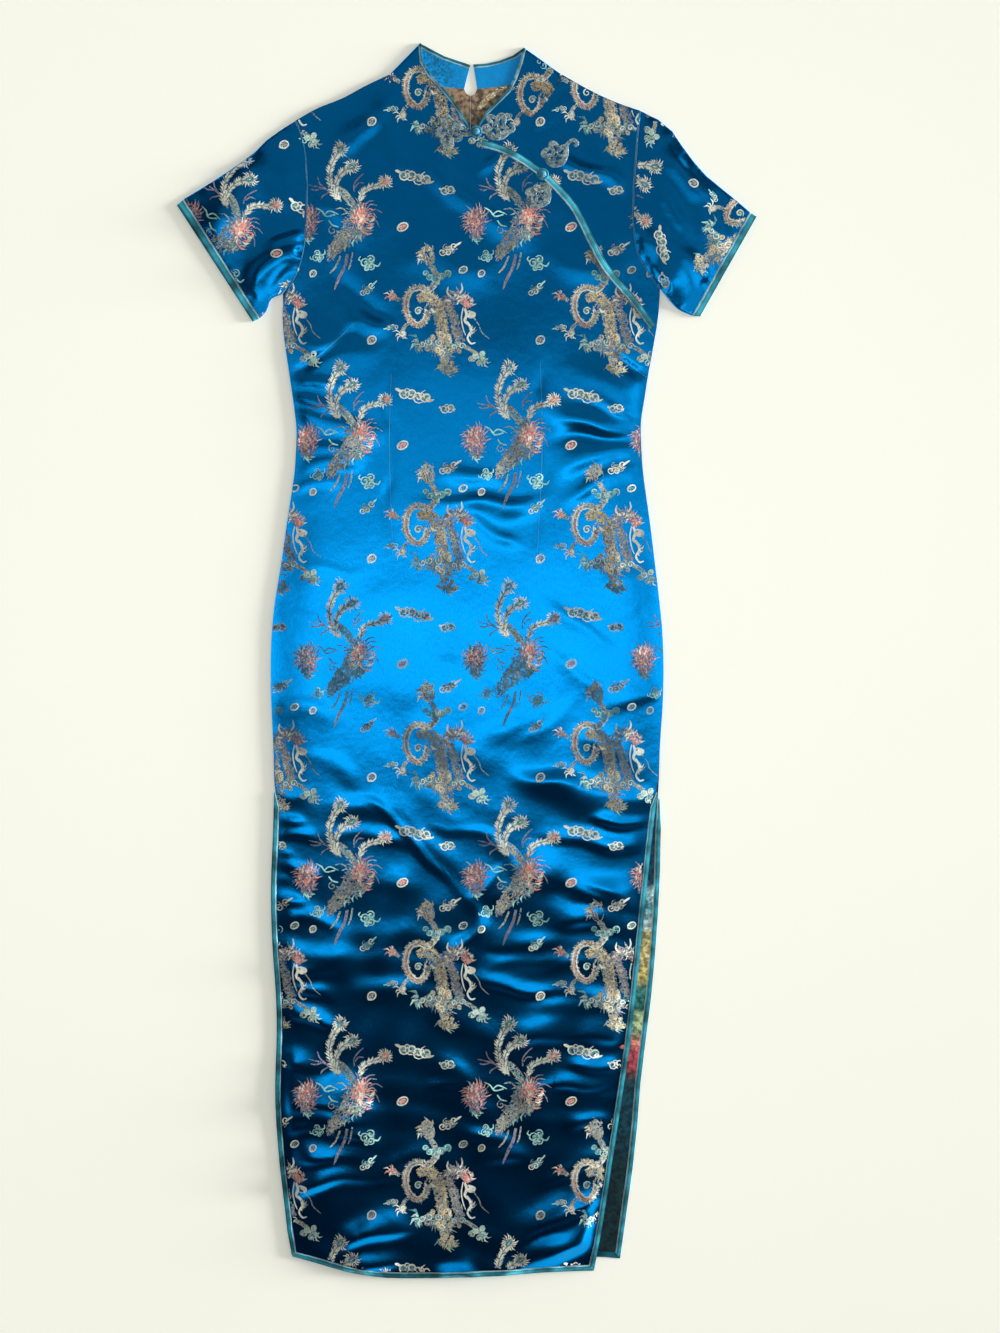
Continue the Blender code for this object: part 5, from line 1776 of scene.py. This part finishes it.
@dataclass
class Sleeve:
    """A set-in sleeve, with its woven figures and the binding of its cuff."""

    room: Workroom
    side: Side
    creases: tuple[Crease, ...]
    shift: Point  # of the weave, in millimetres
    turn: float  # of the weave, in radians
    pitch: float = 3.8 * MM
    sliver: float = 0.25 * MM  # edges shorter than this are closed up
    top: float = 0.85 * FRONT_TOP  # points over this are in the upper layer
    passes: int = 24  # that even out the upper layer's heights
    drop: float = 0.45 * MM  # a point next to one this far below it is on the layer's rim
    fade: float = 9 * MM  # how far in from the rim the creases are whole
    deepest: float = -1.0 * MM
    cuff_width: float = 8.5 * MM
    cuff_pitch: float = 2.5 * MM

    def build(self) -> Made:
        """Build the sleeve and what lies on it."""
        side = self.side.value
        bm = node_mesh(f"sleeve_{side}")
        refine(bm, self.pitch)
        bmesh.ops.dissolve_degenerate(bm, dist=self.sliver, edges=bm.edges)
        bmesh.ops.triangulate(bm, faces=bm.faces)
        self.crumple(bm)
        bm.normal_update()
        tree, low, high = surface_of(bm)
        figures = self.room.figures.weave(f"sleeve_figures_{side}", tree, low, high, self.shift, self.turn)
        finishes = self.room.finishes
        piece = add_piece(f"sleeve_cloth_{side}", bm, [finishes.satin], f"sleeve_{side}")
        cuff = dress_edge(f"cuff_binding_{side}", f"cuff_binding_cloth_{side}", f"sleeve_{side}", self.cuff_width,
                          self.cuff_pitch, finishes.binding)
        return piece, [figures, cuff]

    def crumple(self, bm: Mesh) -> None:
        """Smooth the upper layer and give it its creases, which fade to its rim.

        Args:
            bm: The sleeve, already refined.
        """
        relief = Relief(self.creases, sway=0.3, wander=0.3)
        upper = [vert for vert in bm.verts if vert.co.z > self.top]
        for _ in range(self.passes):
            bmesh.ops.smooth_vert(bm, verts=upper, factor=0.5, use_axis_z=True)
        rim = [vert for vert in upper
               if min(corner.co.z for face in vert.link_faces for corner in face.verts) < vert.co.z - self.drop]
        nearest = KDTree(len(rim))
        for i, vert in enumerate(rim):
            nearest.insert(vert.co, i)
        nearest.balance()
        inward = np.array([nearest.find(vert.co)[2] for vert in upper])
        rises = relief.heights(*plan_of(bm, upper)) * soft_step(0.0, self.fade, inward)
        for vert, rise in zip(upper, rises):
            vert.co.z += max(rise, self.deepest)


@dataclass
class Collar:
    """Half of the stand collar, with its woven figures, its inside and its binding."""

    room: Workroom
    side: Side
    shift: Point  # of the weave, in millimetres
    pitch: float = 4 * MM
    slope: float = 0.3  # low faces whose normals rise more than this are the inside
    binding_width: float = 4.0 * MM
    binding_pitch: float = 2 * MM

    def build(self) -> Made:
        """Build the half and what lies on it."""
        node = f"collar_{self.side.value}"
        bm = node_mesh(node)
        refine(bm, self.pitch)
        bm.normal_update()
        for face in bm.faces:
            inside = face.normal.z > self.slope and face.calc_center_median().z < UPPER
            face.material_index = 1 if inside else 0
        _, low, high = surface_of(bm)
        skin = top_skin(node)
        under = [face for face in skin.faces if face.calc_center_median().z < UPPER]
        bmesh.ops.delete(skin, geom=under, context="FACES")
        name = self.side.value
        figures = self.room.figures.weave(f"collar_figures_{name}", BVHTree.FromBMesh(skin), low, high, self.shift)
        skin.free()
        finishes = self.room.finishes
        piece = add_piece(f"collar_cloth_{name}", bm, [finishes.satin, finishes.lining], node)
        edge = dress_edge(f"collar_binding_{name}", f"collar_binding_cloth_{name}", node, self.binding_width,
                          self.binding_pitch, finishes.collar_binding)
        return piece, [figures, edge]


# ---- edges and frogs


@dataclass
class Bindings:
    """The satin bindings of one layer's slits and hem, as crowned strips."""

    room: Workroom
    relief: Relief
    level: float
    crown: float
    panels: dict[str, str]  # each binding's node, and the panel that its width is measured from
    width: float = 6.0 * MM
    pitch: float = 2.2 * MM
    wall: float = 1.1 * MM

    def build(self) -> list[Piece]:
        """Build the bindings."""
        made = []
        for node, panel in self.panels.items():
            bm = top_skin(node)
            refine(bm, self.pitch)
            mark_across(bm, top_skin(panel), self.width)
            raise_skin(bm, self.level, self.relief, self.crown)
            piece = add_piece(f"{node}_cloth", bm, [self.room.finishes.binding], node)
            thicken(piece, self.wall)
            made.append(piece)
        return made


@dataclass
class Piping:
    """The piping of the flap line, with its pale lower edge."""

    room: Workroom
    line: tuple[Point, ...] = ((17, 589), (38, 583), (64.5, 569.5), (93, 548), (121.5, 517), (141, 479.5),
                               (159, 446.5), (187.5, 413), (212, 380))
    width: float = 8.0 * MM
    pitch: float = 2.2 * MM
    level: float = FRONT_TOP + SEAM + 1.2 * MM
    crown: float = 0.8 * MM
    wall: float = 1.3 * MM

    def build(self) -> Piece:
        """Build the piping."""
        bm = top_skin("flap_piping")
        refine(bm, self.pitch)
        self.mark(bm)
        raise_skin(bm, self.level, self.room.front, self.crown)
        piece = add_piece("flap_piping_cloth", bm, [self.room.finishes.piping], "flap_piping")
        thicken(piece, self.wall)
        return piece

    def mark(self, bm: Mesh) -> None:
        """Mark how far each point is across the strip, from the right of its line to its left.

        Args:
            bm: The strip.
        """
        path = bend(self.line, 8)
        across = bm.verts.layers.float.new("across")
        ahead = headings(path)
        line = [point * MM for point in path]
        for vert in bm.verts:
            at = plan(*vert.co.xy)
            i = min(range(len(line)), key=lambda k: (line[k] - at).length)
            vert[across] = min(1.0, max(0.0, 0.5 + (at - line[i]).dot(to_left(ahead[i])) / self.width))


def cord(bm: Mesh, path: list[Vector], radius: float, sides: int = 6, weld: float = 0.001) -> None:
    """Lay a round cord along a path: a grid rolled into a tube that thins at its ends.

    Args:
        bm: What it is added to, in millimetres.
        path: The cord's middle line.
        radius: Its radius.
        sides: How many sides its section has.
        weld: Points closer than this become one.
    """
    steps = len(path) - 1
    roll = bmesh.ops.create_grid(bm, x_segments=steps, y_segments=sides, size=0.5)["verts"]
    ahead = headings(path)
    for vert in roll:
        share = vert.co.x + 0.5
        i = round(share * steps)
        turn = (vert.co.y + 0.5) * math.tau
        thick = radius * min(1.0, 0.25 + 6.0 * min(share, 1.0 - share))
        vert.co = path[i] + to_left(ahead[i]) * thick * math.cos(turn) + Vector((0.0, 0.0, thick * math.sin(turn)))
    bmesh.ops.remove_doubles(bm, verts=roll, dist=weld)


@dataclass(frozen=True)
class Blossom:
    """A flower of coiled cord: a spiral, loops round it, and a tail that ends in a curl."""

    node: str
    x: float
    y: float
    reach: float
    way: float
    tail: tuple[Point, ...]
    petals: int = 5
    lanes: int = 4  # cords side by side in a petal
    tail_lanes: tuple[float, ...] = (-1.4, 0.0, 1.4)

    def paths(self) -> list[list[Vector]]:
        """Return the middle lines of the flower's cords, in millimetres."""
        centre = plan(self.x, self.y)
        found = [[centre + polar(self.way + math.tau * 1.6 * i / 20, self.reach * (0.34 - 0.28 * i / 20))
                  for i in range(21)]]
        bow = [-2.3 + 4.7 * i / 12 for i in range(13)]
        for k in range(self.petals):
            root = self.way + 0.5 + math.tau * k / self.petals + 0.15 * math.sin(3.0 * k)
            spot = centre + polar(root, self.reach * (0.58 + 0.05 * math.sin(2.0 * k)))
            turn = Matrix.Rotation(root + 0.55, 3, "Z")
            for lane in range(self.lanes):
                size = self.reach * (0.50 - 0.105 * lane) * (0.88 + 0.2 * math.sin(1.9 * k + self.x))
                loop = [(size * 1.15 * math.cos(a), size * 0.78 * math.sin(a), 0.4 * (k % 2)) for a in bow]
                found.append([spot + turn @ Vector(point) for point in loop])
        tail = bend(self.tail, 5)
        side = [to_left(ahead) for ahead in headings(tail)]
        for lane in self.tail_lanes:
            found.append([centre + point + way * lane for point, way in zip(tail, side)])
        return found


@dataclass
class Frogs:
    """The two frogs: flowers of coiled cord, and the CAD's loops and knots, dressed."""

    room: Workroom
    cord_radius: float = 0.72  # in millimetres, as the flowers are drawn
    rise: float = 0.9 * MM  # of a flower's cords over its solid's underside
    blossoms: tuple[Blossom, ...] = (
        Blossom("frog_neck_flower_a", -19, 602, 16.0, 2.6, ((12, -2), (19, -3), (26, -1))),
        Blossom("frog_neck_flower_b", 33, 609, 14.0, 0.3,
                ((-12, -3), (-6, -13), (6, -14), (14, -8), (20, -4), (19, 1), (15, 0))),
        Blossom("frog_chest_flower_a", 101, 577, 13.5, 1.2,
                ((-12, -4), (-4, -13), (8, -11), (13, 0), (13, 10), (20, 16), (25, 12), (21, 9))),
        Blossom("frog_chest_flower_b", 81, 531, 12.0, 3.6,
                ((2, 12), (10, 10), (13, 2), (12, -8), (4, -13), (-6, -12), (-9, -9))))
    fastenings: tuple[str, ...] = ("frog_neck_loop", "frog_neck_knot", "frog_chest_loop", "frog_chest_knot")

    def build(self) -> None:
        """Build the flowers and dress the loops and knots."""
        for blossom in self.blossoms:
            self.flower(blossom)
        for node in self.fastenings:
            bm = node_mesh(node)
            low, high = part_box(node)
            middle = (low + high) / 2
            lift = self.room.front.heights(np.array([middle.x]), np.array([middle.y]))[0]
            bmesh.ops.translate(bm, vec=(0, 0, lift), verts=bm.verts)
            add_piece(f"{node}_cord", bm, [self.room.finishes.knot], node)

    def flower(self, blossom: Blossom) -> None:
        """Lay a flower's cords on the front.

        Args:
            blossom: The flower.
        """
        bm = bmesh.new()
        for path in blossom.paths():
            cord(bm, path, self.cord_radius)
        bmesh.ops.recalc_face_normals(bm, faces=bm.faces)
        bmesh.ops.scale(bm, vec=(MM, MM, MM), verts=bm.verts)
        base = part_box(blossom.node)[0].z + self.rise
        for vert, rise in zip(bm.verts, self.room.front.heights(*plan_of(bm))):
            vert.co.z += base + rise
        add_piece(f"{blossom.node}_cord", bm, [self.room.finishes.cord], blossom.node)


# ---- the dress


@dataclass
class Dress:
    """The whole dress: builds its pieces in order and works out each panel's cut of cloth, which is not kept."""

    room: Workroom
    hem_level: float = FRONT_TOP + 0.1 * MM
    front_crown: float = 0.5 * MM
    back_crown: float = 0.4 * MM
    growth: float = 1.01  # a laid panel's cut is this much larger than its plan
    least_share: float = 0.31  # of its flat size that a cut may fill

    def build(self) -> None:
        """Build every piece."""
        room = self.room
        front, trims = Front(room).build()
        edges = {f"front_{place}": "front" for place in ("slit_binding_left", "slit_binding_right", "hem_binding")}
        trims += Bindings(room, room.front, self.hem_level, self.front_crown, edges).build() + [Piping(room).build()]
        self.declare(front, trims, "front", ("back_cloth_left", "back_cloth_right"))
        sleeves = {Side.LEFT: (LEFT_SLEEVE_CREASES, (60.0, -16.0), -0.35),
                   Side.RIGHT: (RIGHT_SLEEVE_CREASES, (-49.0, -88.0), -1.13)}
        collars = {Side.LEFT: (0.0, 0.0), Side.RIGHT: (-62.0, -8.0)}
        for side in Side:
            self.declare(*Back(room, side).build(), f"back_{side.value}")
            self.declare(*Sleeve(room, side, *sleeves[side]).build(), f"sleeve_{side.value}")
            self.declare(*Collar(room, side, collars[side]).build(), f"collar_{side.value}")
        edges = {"back_slit_binding_left": "back_left", "back_slit_binding_right": "back_right",
                 "back_hem_binding": "back_left"}
        Bindings(room, room.back, CLOTH, self.back_crown, edges).build()
        Frogs(room).build()

    def declare(self, piece: Piece, trims: list[Piece], node: str, under: tuple[str, ...] = ()) -> None:
        """Work out the area of cloth that a panel's cut takes, which is not kept.

        Args:
            piece: The panel; not used.
            trims: What lies on it; not used.
            node: Its node.
            under: The pieces that it rests on; not used.
        """
        low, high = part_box(node)
        width, length = high.x - low.x, high.y - low.y
        bm = top_skin(node)
        area = sum(face.calc_area() * abs(face.normal.z) for face in bm.faces)
        bm.free()
        if node.startswith("sleeve"):
            width = 2 * width
        area = min(area * self.growth, width * length)


# ---- studio


@dataclass(frozen=True)
class Softbox:
    """A rectangular light: where it hangs, where it points, its size, power and spread."""

    name: str
    place: Colour
    target: Colour
    size: Point
    power: float
    spread: float = math.pi

    def build(self) -> None:
        """Hang the light."""
        lamp = bpy.data.lights.new(self.name, "AREA")
        lamp.shape = "RECTANGLE"
        lamp.size, lamp.size_y = self.size
        lamp.energy = self.power
        lamp.spread = self.spread
        holder = put(self.name, lamp)
        holder.location = self.place
        aim = Vector(self.target) - Vector(self.place)
        holder.rotation_mode = "QUATERNION"
        holder.rotation_quaternion = aim.to_track_quat("-Z", "Y")
        holder.visible_camera = False


@dataclass(frozen=True)
class Studio:
    """A pale floor, soft lights and the camera straight above."""

    middle: Point = (0.038, -0.007)
    height: float = 3.59
    lens: float = 85.0
    floor_colour: Colour = (0.95, 0.96, 0.85)
    floor_shade: float = 0.985  # of the floor's darker patches
    floor_glow: float = 0.26
    floor_size: float = 12.0
    floor_drop: float = 0.02 * MM
    side_power: float = 11.4
    side_width: float = 0.30
    side_height: float = 0.084
    side_turn: float = math.radians(4.0)
    lights: tuple[Softbox, ...] = (
        Softbox("key", (1.9, 0.5, 2.9), (0.0, 0.0, 0.0), (1.2, 1.2), 5.0),
        Softbox("sheen", (0.0, 0.03, 1.6), (0.0, 0.03, 0.0), (1.3, 0.32), 0.60, spread=1.5708),
        Softbox("waist_sheen", (0.0, 0.42, 1.6), (0.0, 0.42, 0.0), (1.6, 0.30), 0.95),
        Softbox("shoulder_sheen", (0.0, 1.0, 1.6), (0.0, 1.0, 0.0), (1.6, 0.5), 0.55),
    )
    room: tuple[tuple[float, Colour], ...] = (  # from the walls up to the ceiling
        (0.0, (0.95, 0.95, 0.90)), (0.46, (0.95, 0.95, 0.90)), (0.62, (0.11, 0.10, 0.12)),
        (0.78, (0.017, 0.012, 0.022)), (0.92, (0.003, 0.002, 0.005)))

    def build(self) -> None:
        """Set up the floor, the world, the lights and the camera."""
        scene = bpy.context.scene
        scene.view_settings.view_transform = "Standard"
        self.floor()
        self.world()
        for light in self.lights:
            light.build()
        self.sun()
        lens = bpy.data.cameras.new("camera")
        lens.lens = self.lens
        lens.sensor_width = 36.0
        camera = put("camera", lens)
        camera.location = (*self.middle, self.height)
        scene.camera = camera

    def sun(self) -> None:
        """Hang the low, wide light at the right, which draws the soft shadow at the left."""
        lamp = bpy.data.lights.new("low_side", "SUN")
        lamp.energy = self.side_power
        lamp.angle = self.side_width
        holder = put("low_side", lamp)
        holder.rotation_euler = (0.0, math.pi / 2 - self.side_height, self.side_turn)

    def floor(self) -> None:
        """Lay the floor."""
        bm = bmesh.new()
        bmesh.ops.create_grid(bm, x_segments=4, y_segments=4, size=self.floor_size)
        bmesh.ops.translate(bm, vec=(0.0, 0.0, -self.floor_drop), verts=bm.verts)
        mesh = bpy.data.meshes.new("floor")
        bm.to_mesh(mesh)
        bm.free()
        floor = put("floor", mesh)
        material, tree, shader, place = start_material("pale_floor")
        patch = tuple(value * self.floor_shade for value in self.floor_colour)
        tree.feed(shader, Base_Color=tree.mix(tree.noise(place, 3.0), self.floor_colour, patch), Roughness=0.9,
                  Specular_IOR_Level=0.1, Emission_Color=(*self.floor_colour, 1.0), Emission_Strength=self.floor_glow)
        mesh.materials.append(material)

    def world(self) -> None:
        """Light the room: pale walls and a dark ceiling."""
        world = bpy.data.worlds.new("studio")
        bpy.context.scene.world = world
        world.use_nodes = True
        tree = Tree(world.node_tree)
        up = tree.axis(tree.add("TexCoord").outputs["Generated"], 2)
        tree.feed(world.node_tree.nodes["Background"], Color=tree.ramp(up, self.room), Strength=1.0)


def main() -> None:
    """Build the dress and its studio."""
    logging.basicConfig(level=logging.INFO, format="%(message)s")
    Studio().build()
    finishes = Finishes()
    front, back = Relief(FRONT_CREASES, puff=2.8, edge=48.0), Relief(BACK_CREASES, sway=0.12)
    Dress(Workroom(finishes, Figures(finishes.yarns), front, back)).build()


if __name__ == "__main__":
    main()
